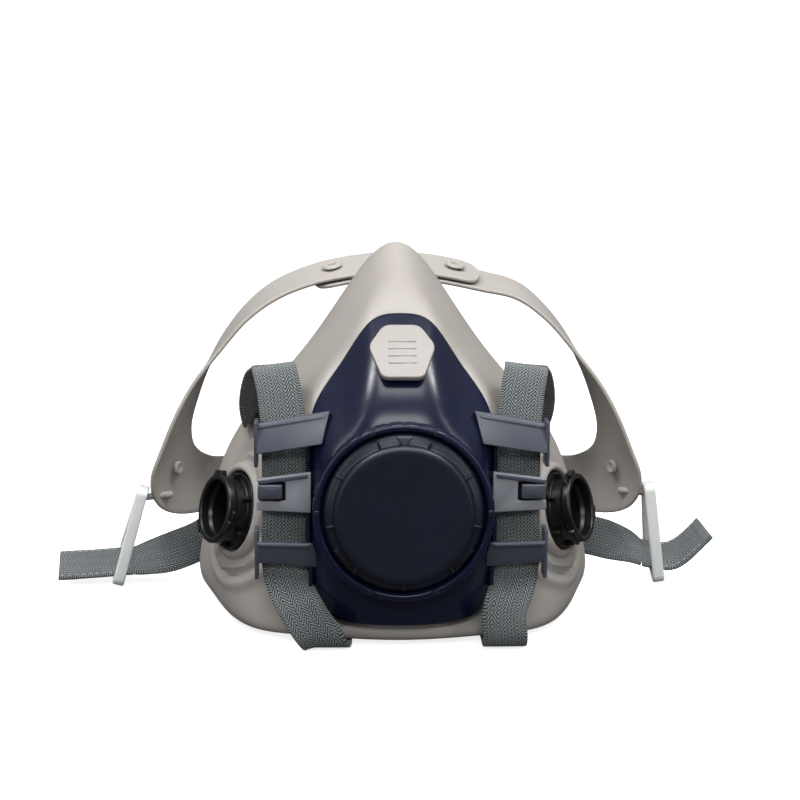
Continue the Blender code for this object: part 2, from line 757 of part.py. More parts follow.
def make_ring(word, data):
    """Triangular wire loop that hangs on the cradle's pin and carries the strap."""
    side = data["side"]
    rx, ry = data["ring"]
    pin = np.array(data["pin"])
    top = pin + np.array([side * 1.1, 0, 3.4])
    front = np.array([rx, ry - 2.3, FLOOR + RING_WIRE / 2 - 0.6])
    rear = np.array([rx - side * 1.0, ry + 17.6, 9.0])
    normal = unit(np.cross(front - top, rear - top))
    top_front = top + np.array([0, -3.4, 0])
    top_rear = top + np.array([0, 3.4, 0])
    path = rounded_loop([top_rear, top_front, front, rear], 1.9)
    rings = plate_rings(path - normal * RING_BAND / 2, path + normal * RING_BAND / 2, RING_WIRE, True)
    skin(f"strap_ring_{word}", rings, CLEAR, closed=True, pivot=data["pin"])


def make_harness():
    make_cradle()
    for word, data in STRAP_SIDES.items():
        side = data["side"]
        front = front_strap_keys(side, data["chin"])
        if side < 0:
            webbing(f"strap_neck_{word}", neck_strap_keys(side, NECK_SPLIT + GAP), 2)
        else:
            front = neck_strap_keys(side)[:-1] + front
        webbing(f"strap_front_{word}", front, 2)
        webbing(f"strap_rear_{word}", rear_strap_keys(side, data["ring"], data["lift"]), 2)
        webbing(f"strap_tail_{word}", tail_keys(side, data["ring"], data["lift"]), 2,
                pivot=data["pin"])
        make_ring(word, data)


# ---------------------------------------------------------------- neck clasp


CLASP_Y = 113.0
CLASP_Z = FLOOR
CLASP_HALF = 10.0


def make_clasp():
    keeper = box("neck_clasp_keeper", (-3.4, CLASP_Y - CLASP_HALF, CLASP_Z),
                 (19.0, CLASP_Y + CLASP_HALF, CLASP_Z + 5.4), BLACK)
    socket = box("keeper_socket", (-5, CLASP_Y - 4.8, CLASP_Z - 1),
                 (9.0, CLASP_Y + 4.8, CLASP_Z + 3.9), cutter=True)
    boolean(keeper, socket)
    hook = box("neck_clasp_hook", (-19.0, CLASP_Y - CLASP_HALF, CLASP_Z),
               (-4.2, CLASP_Y + CLASP_HALF, CLASP_Z + 3.4), BLACK, pivot=(-4.2, CLASP_Y, CLASP_Z + 1.7))
    tongue = box("hook_tongue", (-6.0, CLASP_Y - 4.2, CLASP_Z + 0.4),
                 (8.2, CLASP_Y + 4.2, CLASP_Z + 3.2), cutter=True)
    boolean(hook, tongue, "UNION")
    for number, (obj, x) in enumerate(((keeper, 14.6), (hook, -14.6))):
        slot = box(f"clasp_web_slot_{number}", (x - 1.3, CLASP_Y - 8, CLASP_Z - 1),
                   (x + 1.3, CLASP_Y + 8, CLASP_Z + 8), cutter=True)
        boolean(obj, slot)


make_facepiece()
make_yoke()
make_tabs()
make_badge()
make_exhalation_unit()
make_port(-1, "left")
make_port(1, "right")
make_harness()
make_clasp()
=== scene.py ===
"""Looks of a half-face respirator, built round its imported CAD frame.

Lengths are millimetres in the mask's own axes: X across, -Y out of the front, +Z up, with
x = 0 on the middle of the valve cover and y = 0 on its front. put() turns them into the frame's metres.
"""

import math

import bmesh
import bpy
import numpy as np
from mathutils import Matrix, Vector


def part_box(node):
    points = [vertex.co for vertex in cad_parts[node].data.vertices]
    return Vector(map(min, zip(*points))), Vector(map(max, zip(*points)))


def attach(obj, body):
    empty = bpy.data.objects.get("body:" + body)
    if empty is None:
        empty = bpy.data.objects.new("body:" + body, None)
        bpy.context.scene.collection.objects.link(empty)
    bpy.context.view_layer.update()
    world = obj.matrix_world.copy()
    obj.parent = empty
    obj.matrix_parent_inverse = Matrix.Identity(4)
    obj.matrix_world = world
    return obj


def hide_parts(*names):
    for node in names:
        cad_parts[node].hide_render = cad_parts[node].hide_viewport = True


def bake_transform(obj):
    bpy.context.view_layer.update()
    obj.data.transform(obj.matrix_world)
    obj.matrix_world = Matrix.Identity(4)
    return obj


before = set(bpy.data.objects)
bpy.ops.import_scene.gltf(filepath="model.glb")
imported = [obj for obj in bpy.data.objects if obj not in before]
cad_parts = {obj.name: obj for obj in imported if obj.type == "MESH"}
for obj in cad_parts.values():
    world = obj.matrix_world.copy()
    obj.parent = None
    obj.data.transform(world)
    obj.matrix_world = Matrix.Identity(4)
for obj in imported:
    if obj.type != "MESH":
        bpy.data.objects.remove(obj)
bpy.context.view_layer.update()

MM = 0.001
VALVE_Z = 48.6
COVER_LOW, COVER_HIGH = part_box("exhalation_cover")
ORIGIN = Vector(
    (
        (COVER_LOW.x + COVER_HIGH.x) / 2,
        COVER_LOW.y,
        (COVER_LOW.z + COVER_HIGH.z) / 2 - VALVE_Z * MM,
    )
)
FLOOR = -ORIGIN.z / MM
FINE = 96

# Sizes shared with the solids.
HOUSING_R = 29.7
TUBE_R = 22.6
UNDER_YOKE = 6.2
PORT_POINT = (64.0, 45.0, 41.0)
PORT_YAW = math.radians(62.5)
PORT_PITCH = math.radians(12.5)
PORT_R = 12.0
PORT_SEAT = -11.6
WEB = 15.0
WEB_THICK = 1.4
CRADLE_X = 1.7
RING_BAND = 4.3
RING_WIRE = 2.0


# ---- materials


class Nodes:
    """Adds nodes to a tree. A socket takes a plain value or another node's output."""

    def __init__(self, tree):
        self.tree = tree

    def node(self, kind, sockets=(), **settings):
        made = self.tree.nodes.new(kind)
        for key, value in settings.items():
            setattr(made, key, value)
        for key, value in dict(sockets).items():
            self.feed(made.inputs[key], value)
        return made

    def feed(self, socket, value):
        if isinstance(value, bpy.types.NodeSocket):
            self.tree.links.new(value, socket)
        else:
            socket.default_value = value

    def math(self, operation, a, b=0.0, c=0.0):
        return self.node("ShaderNodeMath", {0: a, 1: b, 2: c}, operation=operation).outputs[0]

    def wave(self, value, pitch, gain, middle):
        """A sine of a length, which repeats once in each pitch."""
        sine = self.math("SINE", self.math("MULTIPLY", value, 2 * math.pi / pitch))
        return self.math("MULTIPLY_ADD", sine, gain, middle)

    def ramp(self, value, low, high):
        sockets = {"Value": value, "From Min": low, "From Max": high}
        return self.node("ShaderNodeMapRange", sockets).outputs["Result"]

    def tint(self, factor, a, b):
        """A colour from a to b by factor."""
        made = self.node("ShaderNodeMix", data_type="RGBA")
        for port, value in ((0, factor), (6, a), (7, b)):
            self.feed(made.inputs[port], (*value, 1) if isinstance(value, tuple) else value)
        return made.outputs[2]


class Shader(Nodes):
    """A material round one Principled BSDF."""

    def __init__(self, name, color, roughness, **constants):
        self.material = bpy.data.materials.new(name)
        self.material.use_nodes = True
        super().__init__(self.material.node_tree)
        self.bsdf = self.tree.nodes["Principled BSDF"]
        self.color((*color, 1))
        self.rough(roughness)
        for key, value in constants.items():
            self.bsdf.inputs[key.replace("_", " ")].default_value = value
        self.place = self.node("ShaderNodeTexCoord").outputs["Object"]

    def color(self, value):
        self.feed(self.bsdf.inputs["Base Color"], value)

    def rough(self, value):
        self.feed(self.bsdf.inputs["Roughness"], value)

    def noise(self, scale, detail=2.0):
        """Noise with about scale features in a millimetre, as a value from 0 to 1."""
        sockets = {"Vector": self.place, "Scale": scale / MM, "Detail": detail}
        return self.node("ShaderNodeTexNoise", sockets).outputs["Fac"]

    def bump(self, height, depth, strength=1.0):
        """Relief of depth millimetres."""
        sockets = {"Height": height, "Distance": depth * MM, "Strength": strength}
        self.feed(self.bsdf.inputs["Normal"], self.node("ShaderNodeBump", sockets).outputs["Normal"])


DUST = 0.25


def moulded(name, color, worn, roughness, spread, grain, **constants):
    """Moulded plastic or silicone: fine grain, cloudy gloss, and a paler tone where it is handled."""
    made = Shader(name, color, roughness, **constants)
    cloud = made.noise(0.035, 3.0)
    speck = made.noise(1.6, 2.0)
    smudge = made.noise(0.3, 4.0)
    tone = made.math("MULTIPLY_ADD", made.ramp(cloud, 0.35, 0.7), 1.0 - DUST,
                     made.math("MULTIPLY", made.ramp(speck, 0.45, 0.8), DUST))
    made.color(made.tint(tone, color, worn))
    gloss = made.math("ADD", made.math("MULTIPLY", smudge, spread), roughness - spread / 2)
    made.rough(gloss)
    height = made.math("MULTIPLY_ADD", made.noise(3.2, 2.0), 0.6, made.math("MULTIPLY", speck, 0.4))
    made.bump(height, grain, 0.5)
    return made.material


# The webbing's weave: half a zigzag's width, how often each thread repeats, and its edges.
ZIGZAG = 2.1
THREAD_PITCH = 1.25
RIB_PITCH = 1.15
CORD_PITCH = 0.8
SELVEDGE = (6.1, 6.5)


def woven():
    """Elastic webbing: herringbone rows of thread between two plain selvedges.

    The Weave UV map holds metres across and along the strap.
    """
    made = Shader("webbing", (0.09, 0.105, 0.105), 0.85, Sheen_Weight=0.25, Sheen_Roughness=0.5)
    uv = made.node("ShaderNodeUVMap", uv_map="Weave").outputs["UV"]
    split = made.node("ShaderNodeSeparateXYZ", {"Vector": uv})
    across = made.math("DIVIDE", split.outputs["X"], MM)
    along = made.math("DIVIDE", split.outputs["Y"], MM)
    wobble = made.math("MULTIPLY_ADD", made.noise(0.5, 2.0), 0.35, -0.17)
    zigzag = made.math("PINGPONG", across, ZIGZAG)
    phase = made.math("ADD", made.math("ADD", along, made.math("MULTIPLY", zigzag, 1.3)), wobble)
    thread = made.wave(phase, THREAD_PITCH, 0.5, 0.5)
    rib = made.wave(across, RIB_PITCH, 0.5, 0.5)
    fibre = made.noise(5.0, 2.0)
    height = made.math("MULTIPLY_ADD", thread, 0.65, made.math("MULTIPLY", rib, 0.2))
    height = made.math("MULTIPLY_ADD", fibre, 0.3, height)
    edge = made.ramp(made.math("ABSOLUTE", across), *SELVEDGE)
    cord = made.wave(along, CORD_PITCH, 0.35, 0.55)
    height = made.math("ADD", made.math("MULTIPLY", height, made.math("SUBTRACT", 1.0, edge)),
                       made.math("MULTIPLY", cord, edge))
    # Colour follows the weave's height, near black in the grooves and pale on the raised threads:
    # painted shade and painted highlight over the thread pattern.
    body = made.tint(made.ramp(height, 0.3, 0.95), (0.008, 0.011, 0.012), (0.27, 0.305, 0.31))
    cloud = made.ramp(made.noise(0.12, 2.0), 0.3, 0.75)
    made.color(made.tint(made.math("MULTIPLY", cloud, 0.12), body, (0.13, 0.15, 0.15)))
    made.rough(made.math("MULTIPLY_ADD", fibre, 0.2, 0.72))
    made.bump(height, 0.32, 0.9)
    return made.material


SOFT = "Subsurface_Weight"
DEEP = "Subsurface_Scale"
SHINE = "Specular_IOR_Level"
SURFACES = {
    # look: name, colour, colour where worn, roughness, its spread, grain, other shader constants
    "silicone": ("silicone", (0.385, 0.36, 0.33), (0.43, 0.40, 0.37), 0.46, 0.12, 0.05,
                 {SOFT: 0.08, DEEP: 0.004}),
    "yoke": ("yoke_plastic", (0.0046, 0.0070, 0.026), (0.0065, 0.0098, 0.033), 0.24, 0.08, 0.02,
             {SHINE: 0.42}),
    # The bars' slate colour is the yoke's navy made paler: painted reflection of the lamps on their
    # faces.
    "bars": ("bar_plastic", (0.060, 0.066, 0.090), (0.078, 0.085, 0.112), 0.38, 0.1, 0.04,
             {SHINE: 0.6}),
    # The middle bar's pale grey is painted highlight: the same plastic as the other bars, made lighter
    # for the light its face catches.
    "mid_bar_painted_highlight": ("mid_bar_painted_highlight_plastic", (0.24, 0.25, 0.285), (0.30, 0.31, 0.345), 0.40, 0.1, 0.04,
                {SHINE: 0.6}),
    "cover": ("cover_plastic", (0.0070, 0.0095, 0.020), (0.0095, 0.0125, 0.026), 0.36, 0.1, 0.03,
              {SHINE: 0.45}),
    "black": ("black_plastic", (0.004, 0.004, 0.0045), (0.007, 0.007, 0.008), 0.34, 0.12, 0.03, {}),
    "badge": ("badge_plastic", (0.37, 0.345, 0.325), (0.41, 0.385, 0.36), 0.5, 0.1, 0.05, {}),
    "cradle": ("cradle_plastic", (0.40, 0.375, 0.345), (0.44, 0.415, 0.385), 0.5, 0.12, 0.07,
               {SOFT: 0.05, DEEP: 0.003}),
    "ring": ("ring_plastic", (0.97, 0.98, 0.985), (0.99, 0.99, 0.995), 0.36, 0.12, 0.05,
             {SOFT: 0.35, DEEP: 0.003, "Transmission_Weight": 0.12}),
    "flap": ("valve_silicone", (0.46, 0.43, 0.37), (0.55, 0.52, 0.46), 0.4, 0.1, 0.02,
             {SOFT: 0.2, DEEP: 0.002}),
    "seal": ("gasket_rubber", (0.008, 0.008, 0.008), (0.014, 0.014, 0.014), 0.6, 0.1, 0.05, {}),
    "stitch": ("stitch_thread", (0.42, 0.46, 0.46), (0.55, 0.59, 0.59), 0.7, 0.1, 0.04, {}),
}
LOOKS = {look: moulded(*row[:6], **row[6]) for look, row in SURFACES.items()}
LOOKS["webbing"] = woven()


# ---- modelling helpers


def put(points):
    """Millimetre points in the frame's metres."""
    return [tuple(Vector(p) * MM + ORIGIN) for p in points]


def edit(mesh, change):
    """Applies a change to a mesh through BMesh."""
    bm = bmesh.new()
    bm.from_mesh(mesh)
    change(bm)
    bm.to_mesh(mesh)
    bm.free()


def face_outward(bm):
    bmesh.ops.recalc_face_normals(bm, faces=bm.faces)


def mesh_piece(name, points, faces, look, weave=None, angle=35, outward=False):
    mesh = bpy.data.meshes.new(name)
    mesh.from_pydata(put(points), [], faces)
    obj = bpy.data.objects.new(name, mesh)
    bpy.context.scene.collection.objects.link(obj)
    mesh.materials.append(LOOKS[look])
    if outward:
        edit(mesh, face_outward)
    if weave is not None:
        layer = mesh.uv_layers.new(name="Weave")
        for loop in mesh.loops:
            layer.data[loop.index].uv = weave[loop.vertex_index]
    smooth(obj, angle)
    return obj


def smooth(obj, angle=35):
    for polygon in obj.data.polygons:
        polygon.use_smooth = True
    obj.data.set_sharp_from_angle(angle=math.radians(angle))


def unit(vectors):
    return vectors / np.linalg.norm(vectors, axis=-1, keepdims=True)


def smooth_path(keys, per_span):
    """Catmull-Rom curve through rows of numbers."""
    keys = np.array(keys, float)
    padded = np.vstack([2 * keys[0] - keys[1], keys, 2 * keys[-1] - keys[-2]])
    rows = []
    for i in range(1, len(padded) - 2):
        a, b, c, d = padded[i - 1 : i + 3]
        for step in range(per_span):
            t = step / per_span
            rows.append(
                0.5 * (2 * b + (c - a) * t + (2 * a - 5 * b + 4 * c - d) * t**2
                       + (3 * b - 3 * c + d - a) * t**3)
            )
    rows.append(keys[-1])
    return np.array(rows)


def tube_faces(rings, around, closed=False, base=0):
    """Quads between rings of points, each ring with the same number around it."""
    faces = []
    for i in range(rings if closed else rings - 1):
        low, high = base + i * around, base + (i + 1) % rings * around
        for k in range(around):
            n = (k + 1) % around
            faces.append((low + k, low + n, high + n, high + k))
    return faces


def end_faces(rings, around, base=0):
    """The polygons that close a tube's two ends."""
    last = base + (rings - 1) * around
    return [tuple(range(base, base + around))[::-1], tuple(range(last, last + around))]


def loft(name, rings, look, closed=False, weave=None, angle=35):
    """Joins rings of equal length into one closed piece."""
    count, around = len(rings), len(rings[0])
    faces = tube_faces(count, around, closed)
    if not closed:
        faces += end_faces(count, around)
    points = np.array(rings).reshape(-1, 3)
    return mesh_piece(name, points, faces, look, weave, angle, outward=True)


def band_section(width, thick, round_r, flats=5, crown=0.0):
    """Outline of a flat band's cross-section as (across, through), from -width/2 to width/2."""
    outline = []
    half = width / 2 - round_r
    for side in (1, -1):
        for step in range(flats + 1):
            x = half * (1 - 2 * step / flats) * side
            outline.append((x, side * (thick / 2 + crown * (1 - (x / half) ** 2))))
        for step in range(1, 5):
            turn = math.pi * step / 5
            outline.append((-side * (half + round_r * math.sin(turn)),
                            side * thick / 2 * math.cos(turn)))
    return outline


def band_rings(middle, across, outline, closed=False):
    """Places a cross-section along a path, with its width along the given direction."""
    middle = np.array(middle, float)
    across = unit(np.array(across, float))
    if closed:
        along = np.roll(middle, -1, 0) - np.roll(middle, 1, 0)
    else:
        along = np.gradient(middle, axis=0)
    through = unit(np.cross(along, across))
    across = unit(np.cross(through, along))
    outline = np.array(outline)
    return (middle[:, None] + across[:, None] * outline[None, :, :1]
            + through[:, None] * outline[None, :, 1:])


def travelled(path):
    """How far along a path each of its points lies."""
    steps = np.linalg.norm(np.diff(path, axis=0), axis=1)
    return np.concatenate([[0], np.cumsum(steps)])


def woven_band(name, path, across, outline):
    """A lofted strap whose Weave UV map holds metres across it and along it."""
    weave = [(u * MM, v * MM) for v in travelled(path) for u, _ in outline]
    piece = loft(name, band_rings(path, across, outline), "webbing", weave=weave, angle=60)
    return piece


def strap(name, keys, per_span=10):
    """Woven strap through keys of (x, y, z, width direction x, y, z)."""
    rows = smooth_path(keys, per_span)
    outline = band_section(WEB - 0.1, WEB_THICK - 0.25, 0.45, flats=8, crown=0.06)
    return woven_band(name, rows[:, :3], rows[:, 3:6], outline), rows


STITCH_PITCH = 2.6
STITCH_LENGTH = 1.7
# Along a stitch: how far, its lift from the strap's middle, and half its width.
STITCH_SHAPE = ((0, 0.65, 0.12), (0.5, 0.87, 0.22), (1, 0.65, 0.12))


def stitch_row(name, path, across, offset, body):
    """Thread stitches along both faces of a strap, offset from its middle line."""
    along = travelled(path)
    tangent = unit(np.gradient(path, axis=0))
    sideways = unit(across)
    normal = unit(np.cross(tangent, sideways))
    points, faces = [], []
    for face in (1, -1):
        for number in range(int(along[-1] / STITCH_PITCH)):
            start = (number + 0.2) * STITCH_PITCH
            i = min(int(np.searchsorted(along, start)), len(path) - 1)
            side, up = sideways[i], normal[i] * face
            shape = len(STITCH_SHAPE), 4
            faces += tube_faces(*shape, base=len(points)) + end_faces(*shape, len(points))
            for t, lift, wide in STITCH_SHAPE:
                at = start + STITCH_LENGTH * t
                middle = np.array([np.interp(at, along, path[:, k]) for k in range(3)])
                centre = middle + side * offset + up * lift
                points += [centre + side * wide, centre + up * wide, centre - side * wide,
                           centre - up * wide]
    piece = mesh_piece(name, points, faces, "stitch", outward=True)
    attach(piece, body)
    return piece


def turn_to(axis):
    return Vector(axis).to_track_quat("Z", "Y").to_matrix()


def about(origin, axis, degrees):
    """Places (x, y, z) in an axis's own frame, turned about that axis."""
    turn = turn_to(axis) @ Matrix.Rotation(math.radians(degrees), 3, "Z")
    return lambda x, y, z: Vector(origin) + turn @ Vector((x, y, z))


def rounded_profile(profile, radius, loop, arc=(0, 0.33, 0.67, 1)):
    """Cuts each corner of a (radius, height) profile back to a short arc."""
    points = [Vector(p) for p in profile]
    count = len(points)
    out = []
    for i, corner in enumerate(points):
        if not loop and i in (0, count - 1):
            out.append(tuple(corner))
            continue
        before = points[i - 1] - corner
        after = points[(i + 1) % count] - corner
        reach = min(radius, before.length * 0.45, after.length * 0.45)
        a = corner + before.normalized() * reach
        b = corner + after.normalized() * reach
        for t in arc:
            out.append(tuple(a * (1 - t) ** 2 + corner * 2 * t * (1 - t) + b * t**2))
    return out


def turned(name, profile, look, origin, axis, solid=False, radius=0.25, steps=FINE, wave=None):
    """A (radius, height) profile turned about an axis, with eased corners.

    wave(turn, radius, height) may return a changed (radius, height).
    """
    outline = rounded_profile(profile, radius, not solid)
    frame_of = turn_to(axis)
    points, faces = [], []
    count = len(outline)
    for step in range(steps):
        turn = 2 * math.pi * step / steps
        for r, h in outline:
            if wave:
                r, h = wave(turn, r, h)
            local = Vector((r * math.cos(turn), r * math.sin(turn), h))
            points.append(Vector(origin) + frame_of @ local)
    for step in range(steps):
        n = (step + 1) % steps
        for k in range(count - 1 if solid else count):
            m = (k + 1) % count
            faces.append((step * count + k, n * count + k, n * count + m, step * count + m))
    obj = mesh_piece(name, points, faces, look)

    def weld(bm):
        bmesh.ops.remove_doubles(bm, verts=bm.verts, dist=1e-6)
        bmesh.ops.dissolve_degenerate(bm, edges=bm.edges, dist=1e-7)
        face_outward(bm)

    edit(obj.data, weld)
    smooth(obj)
    return obj


def prism(name, outline, low, high, look, bevel=0.3, place=lambda *point: point):
    """An outline of (x, y) raised from low to high by place(x, y, z), with bevelled edges."""
    count = len(outline)
    points = [place(x, y, low) for x, y in outline]
    points += [place(x, y, high) for x, y in outline]
    faces = end_faces(2, count) + tube_faces(2, count)
    obj = mesh_piece(name, points, faces, look, outward=True)
    if bevel:
        ease(obj, bevel)
    return obj


def ease(obj, width):
    """Rounds the sharp edges of a piece for good."""

    def bevel(bm):
        sharp = [e for e in bm.edges if len(e.link_faces) == 2 and e.calc_face_angle(0) > 0.5]
        bmesh.ops.bevel(bm, geom=sharp, offset=width * MM, segments=3, profile=0.5,
                        affect="EDGES", clamp_overlap=True)

    edit(obj.data, bevel)
    smooth(obj, 50)


def block(name, low, high, look, bevel=0.3):
    """A box with eased edges."""
    outline = [(low[0], low[1]), (high[0], low[1]), (high[0], high[1]), (low[0], high[1])]
    return prism(name, outline, low[2], high[2], look, bevel)


def join(name, objects):
    """One piece out of several, keeping each one's faces and materials."""
    first = objects[0]
    with bpy.context.temp_override(active_object=first, object=first, selected_objects=objects,
                                   selected_editable_objects=objects):
        bpy.ops.object.join()
    first.name = name
    return first


def cut(obj, cutter, operation="DIFFERENCE"):
    """Applies a Boolean and drops the cutter."""
    boolean = obj.modifiers.new("Cut", "BOOLEAN")
    boolean.operation = operation
    boolean.solver = "EXACT"
    boolean.object = cutter
    apply_modifiers(obj)
    bpy.data.objects.remove(cutter)


def apply_modifiers(obj):
    graph = bpy.context.evaluated_depsgraph_get()
    graph.update()
    made = bpy.data.meshes.new_from_object(obj.evaluated_get(graph), depsgraph=graph)
    obj.modifiers.clear()
    obj.data = made


def stand_for(piece, body, slot, *nodes):
    """piece rides on a body and is shown in place of CAD nodes. The slot is not used."""
    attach(piece, body)
    if nodes:
        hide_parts(*nodes)
    return piece


# ---- facepiece and yoke


YOKE_HOLE_Y = 9.5
YOKE_RISE = 1.6
YOKE_ANGLES = (0, 24, 45, 62, 82, 104, 132, 157, 180)
YOKE_EDGE = (
    (0, 41, 109.5), (10.5, 38.5, 106.8), (20.5, 35, 93), (30, 27, 77.5), (30.6, 21.5, 57),
    (30.6, 21, 36), (29.8, 23, 16), (20, 19, 8.3), (0, 15, 7.6),
)
FACE_CHEEK = (
    (0, 55, 118.5), (11, 54, 112.5), (25, 50, 93.5), (39, 45, 73.5), (49.5, 41, 49.5),
    (54.5, 40, 23), (51.5, 35, 3.8), (33.5, 27.5, 0.8), (0, 23.0, 0.2),
)
FACE_SIDE = (
    (0, 70, 125), (11.6, 70, 117), (28.5, 68, 94), (45.5, 68, 71), (59, 70, 47.5),
    (66.5, 68, 20), (62.5, 64, 2.2), (35.5, 52, 0.9), (0, 46, 0.9),
)
FACE_REAR = (
    (0, 84, 129.6), (12.3, 86, 120.5), (30.5, 88, 94), (50.5, 90, 70), (63.5, 93, 47),
    (70.3, 92, 20), (67, 86, 3.6), (36, 74, 0.9), (0, 66, 0.9),
)
FACE_CENTRE_Z = 56.0


def front_contour(t, behind=0.0, hole_r=24.2):
    """Half contour of the mask's front, from the valve hole (t=0) to the yoke's edge (t=1)."""
    half = []
    for angle, (x, y, z) in zip(YOKE_ANGLES, YOKE_EDGE):
        turn = math.radians(angle)
        hole_x = hole_r * math.sin(turn)
        hole_z = VALVE_Z + hole_r * math.cos(turn)
        depth = YOKE_HOLE_Y + (y - YOKE_HOLE_Y) * t**YOKE_RISE
        half.append((hole_x + (x - hole_x) * t, depth + behind, hole_z + (z - hole_z) * t))
    return half


def face_stations():
    """Half contours of the facepiece, from the valve hole to the inner sealing lip."""
    stations = [front_contour(t, UNDER_YOKE) for t in (0.0, 0.4, 0.8)]
    rim = []
    for x, y, z in YOKE_EDGE:
        away = math.hypot(x, z - VALVE_Z)
        rim.append((x * (1 + 1.5 / away), y + 4.4, VALVE_Z + (z - VALVE_Z) * (1 + 1.5 / away)))
    stations += [rim, FACE_CHEEK, FACE_SIDE, FACE_REAR]
    for scale, back in ((0.89, 7.0), (0.76, 4.5)):
        stations.append(
            [(x * scale, y + back, FACE_CENTRE_Z + (z - FACE_CENTRE_Z) * scale)
             for x, y, z in FACE_REAR]
        )
    return stations


def limit_cage(rows):
    """Control points whose subdivided limit surface passes through a grid of points."""
    stations, around, _ = rows.shape
    ring = np.eye(around) * 2 / 3
    ring += (np.roll(np.eye(around), 1, 0) + np.roll(np.eye(around), -1, 0)) / 6
    along = np.eye(stations) * 2 / 3 + (np.eye(stations, k=1) + np.eye(stations, k=-1)) / 6
    along[0] = np.eye(stations)[0]
    along[-1] = np.eye(stations)[-1]
    cage = np.linalg.solve(along, rows.reshape(stations, -1)).reshape(rows.shape)
    cage = cage.transpose(1, 0, 2).reshape(around, -1)
    return np.linalg.solve(ring, cage).reshape(around, stations, 3).transpose(1, 0, 2)


def shell(name, stations, wall, look, levels=3):
    """A subdivided open surface through half contours, thickened inward."""
    whole = [[*half, *((-x, y, z) for x, y, z in half[-2:0:-1])] for half in stations]
    cage = limit_cage(np.array(whole, float))
    obj = mesh_piece(name, cage.reshape(-1, 3), tube_faces(*cage.shape[:2]), look)
    divide = obj.modifiers.new("Subdivision", "SUBSURF")
    divide.levels = levels
    divide.render_levels = levels
    thick = obj.modifiers.new("Wall", "SOLIDIFY")
    thick.thickness = wall * MM
    thick.offset = -1.0
    apply_modifiers(obj)
    return obj


def port_frame(side):
    point = Vector((side * PORT_POINT[0], PORT_POINT[1], PORT_POINT[2]))
    axis = Vector((side * math.sin(PORT_YAW) * math.cos(PORT_PITCH),
                   -math.cos(PORT_YAW) * math.cos(PORT_PITCH), math.sin(PORT_PITCH)))
    return point, axis


def raise_skin(obj, bulges):
    """Lifts the outer skin in soft rings and ribs: bulges gives an offset for each point and normal."""
    mesh = obj.data
    normals = [Vector(v.normal) for v in mesh.vertices]
    for vertex, normal in zip(mesh.vertices, normals):
        place = (vertex.co - ORIGIN) / MM
        vertex.co += normal * bulges(place, normal) * MM


def face_relief(place, normal):
    """Concentric collars round each port."""
    lift = 0.0
    for side in (-1, 1):
        point, axis = port_frame(side)
        away = place - point
        height = away.dot(axis)
        if height > -22 and normal.dot(axis) > 0.2:
            radius = (away - axis * height).length
            for ring, wide, tall in ((20.0, 1.3, 1.2), (25.0, 1.9, 1.1)):
                lift += tall * math.exp(-(((radius - ring) / wide) ** 2))
            lift -= 0.7 * math.exp(-(((radius - 22.3) / 1.2) ** 2))
    return lift


def open_port(face, point, axis):
    """Sinks one port's stepped well into the skin and gives it a raised boss and a bead."""
    boss = turned(
        "boss",
        [(14.4, PORT_SEAT + 0.6), (16.0, PORT_SEAT + 0.9), (17.0, PORT_SEAT),
         (18.2, PORT_SEAT - 1.2), (17.5, PORT_SEAT - 5.0), (9.0, PORT_SEAT - 5.0),
         (9.0, PORT_SEAT + 0.05), (13.8, PORT_SEAT + 0.05)],
        "silicone", point, axis, radius=0.5, steps=72)
    well = turned(
        "well",
        [(0, 12), (13.6, 12), (13.6, PORT_SEAT + 0.12), (10.3, PORT_SEAT + 0.12),
         (10.3, PORT_SEAT - 15), (0, PORT_SEAT - 15)],
        "silicone", point, axis, solid=True, radius=0.02, steps=64)
    clear = turned(
        "clear",
        [(0, 12), (17.6, 12), (15.6, PORT_SEAT + 1.0), (13.4, PORT_SEAT + 0.4),
         (0, PORT_SEAT + 0.4)],
        "silicone", point, axis, solid=True, radius=0.02, steps=68)
    cut(face, clear)
    cut(face, boss, "UNION")
    cut(face, well)
    return turned(
        "bead",
        [(14.2, PORT_SEAT + 0.2), (14.1, PORT_SEAT + 3.4), (15.4, PORT_SEAT + 4.0),
         (17.0, PORT_SEAT + 2.6), (18.4, PORT_SEAT - 0.8), (16.0, PORT_SEAT - 1.0)],
        "silicone", point, axis, radius=0.8, steps=72)


def make_facepiece():
    face = shell("facepiece_skin", face_stations(), 2.4, "silicone", levels=4)
    raise_skin(face, face_relief)
    beads = [open_port(face, *port_frame(side)) for side in (-1, 1)]
    smooth(face, 50)
    face = join("facepiece_skin", [face] + beads)
    stand_for(face, "mask", "silicone", "facepiece")


GUIDE_BARS = {
    # (inner top, inner bottom, outer bottom, outer top) as (x, y, z)
    "top": ((24, 19.4, 79.5), (26.5, 14.9, 69.3), (48.2, 17.8, 65.4), (48.2, 21.2, 75.0)),
    "mid": ((30.2, 17.6, 59.4), (30.2, 17.6, 45.6), (48.2, 18.4, 46.4), (48.2, 18.4, 56.9)),
    "low": ((29.8, 16.0, 35.5), (26.4, 18.0, 26.8), (48.2, 18.6, 28.4), (48.2, 17.0, 35.7)),
}
BAR_THICK = 2.3


def slab(name, corners, thick, look, bevel):
    """A four-cornered bar of even thickness along +Y."""
    front = [tuple(p) for p in corners]
    back = [(x, y + thick, z) for x, y, z in front]
    faces = [(0, 1, 2, 3), (7, 6, 5, 4)]
    faces += [(k + 4, (k + 1) % 4 + 4, (k + 1) % 4, k) for k in range(4)]
    obj = mesh_piece(name, front + back, faces, look, outward=True)
    if bevel:
        ease(obj, bevel)
    return obj


def sided(low, high, side):
    """A box's corners on one side of the mask, lowest first."""
    low = (low[0] * side, *low[1:])
    high = (high[0] * side, *high[1:])
    return tuple(map(min, low, high)), tuple(map(max, low, high))


def side_blocks(rows, side):
    return [block(name, *sided(low, high, side), look, bevel)
            for name, low, high, look, bevel in rows]


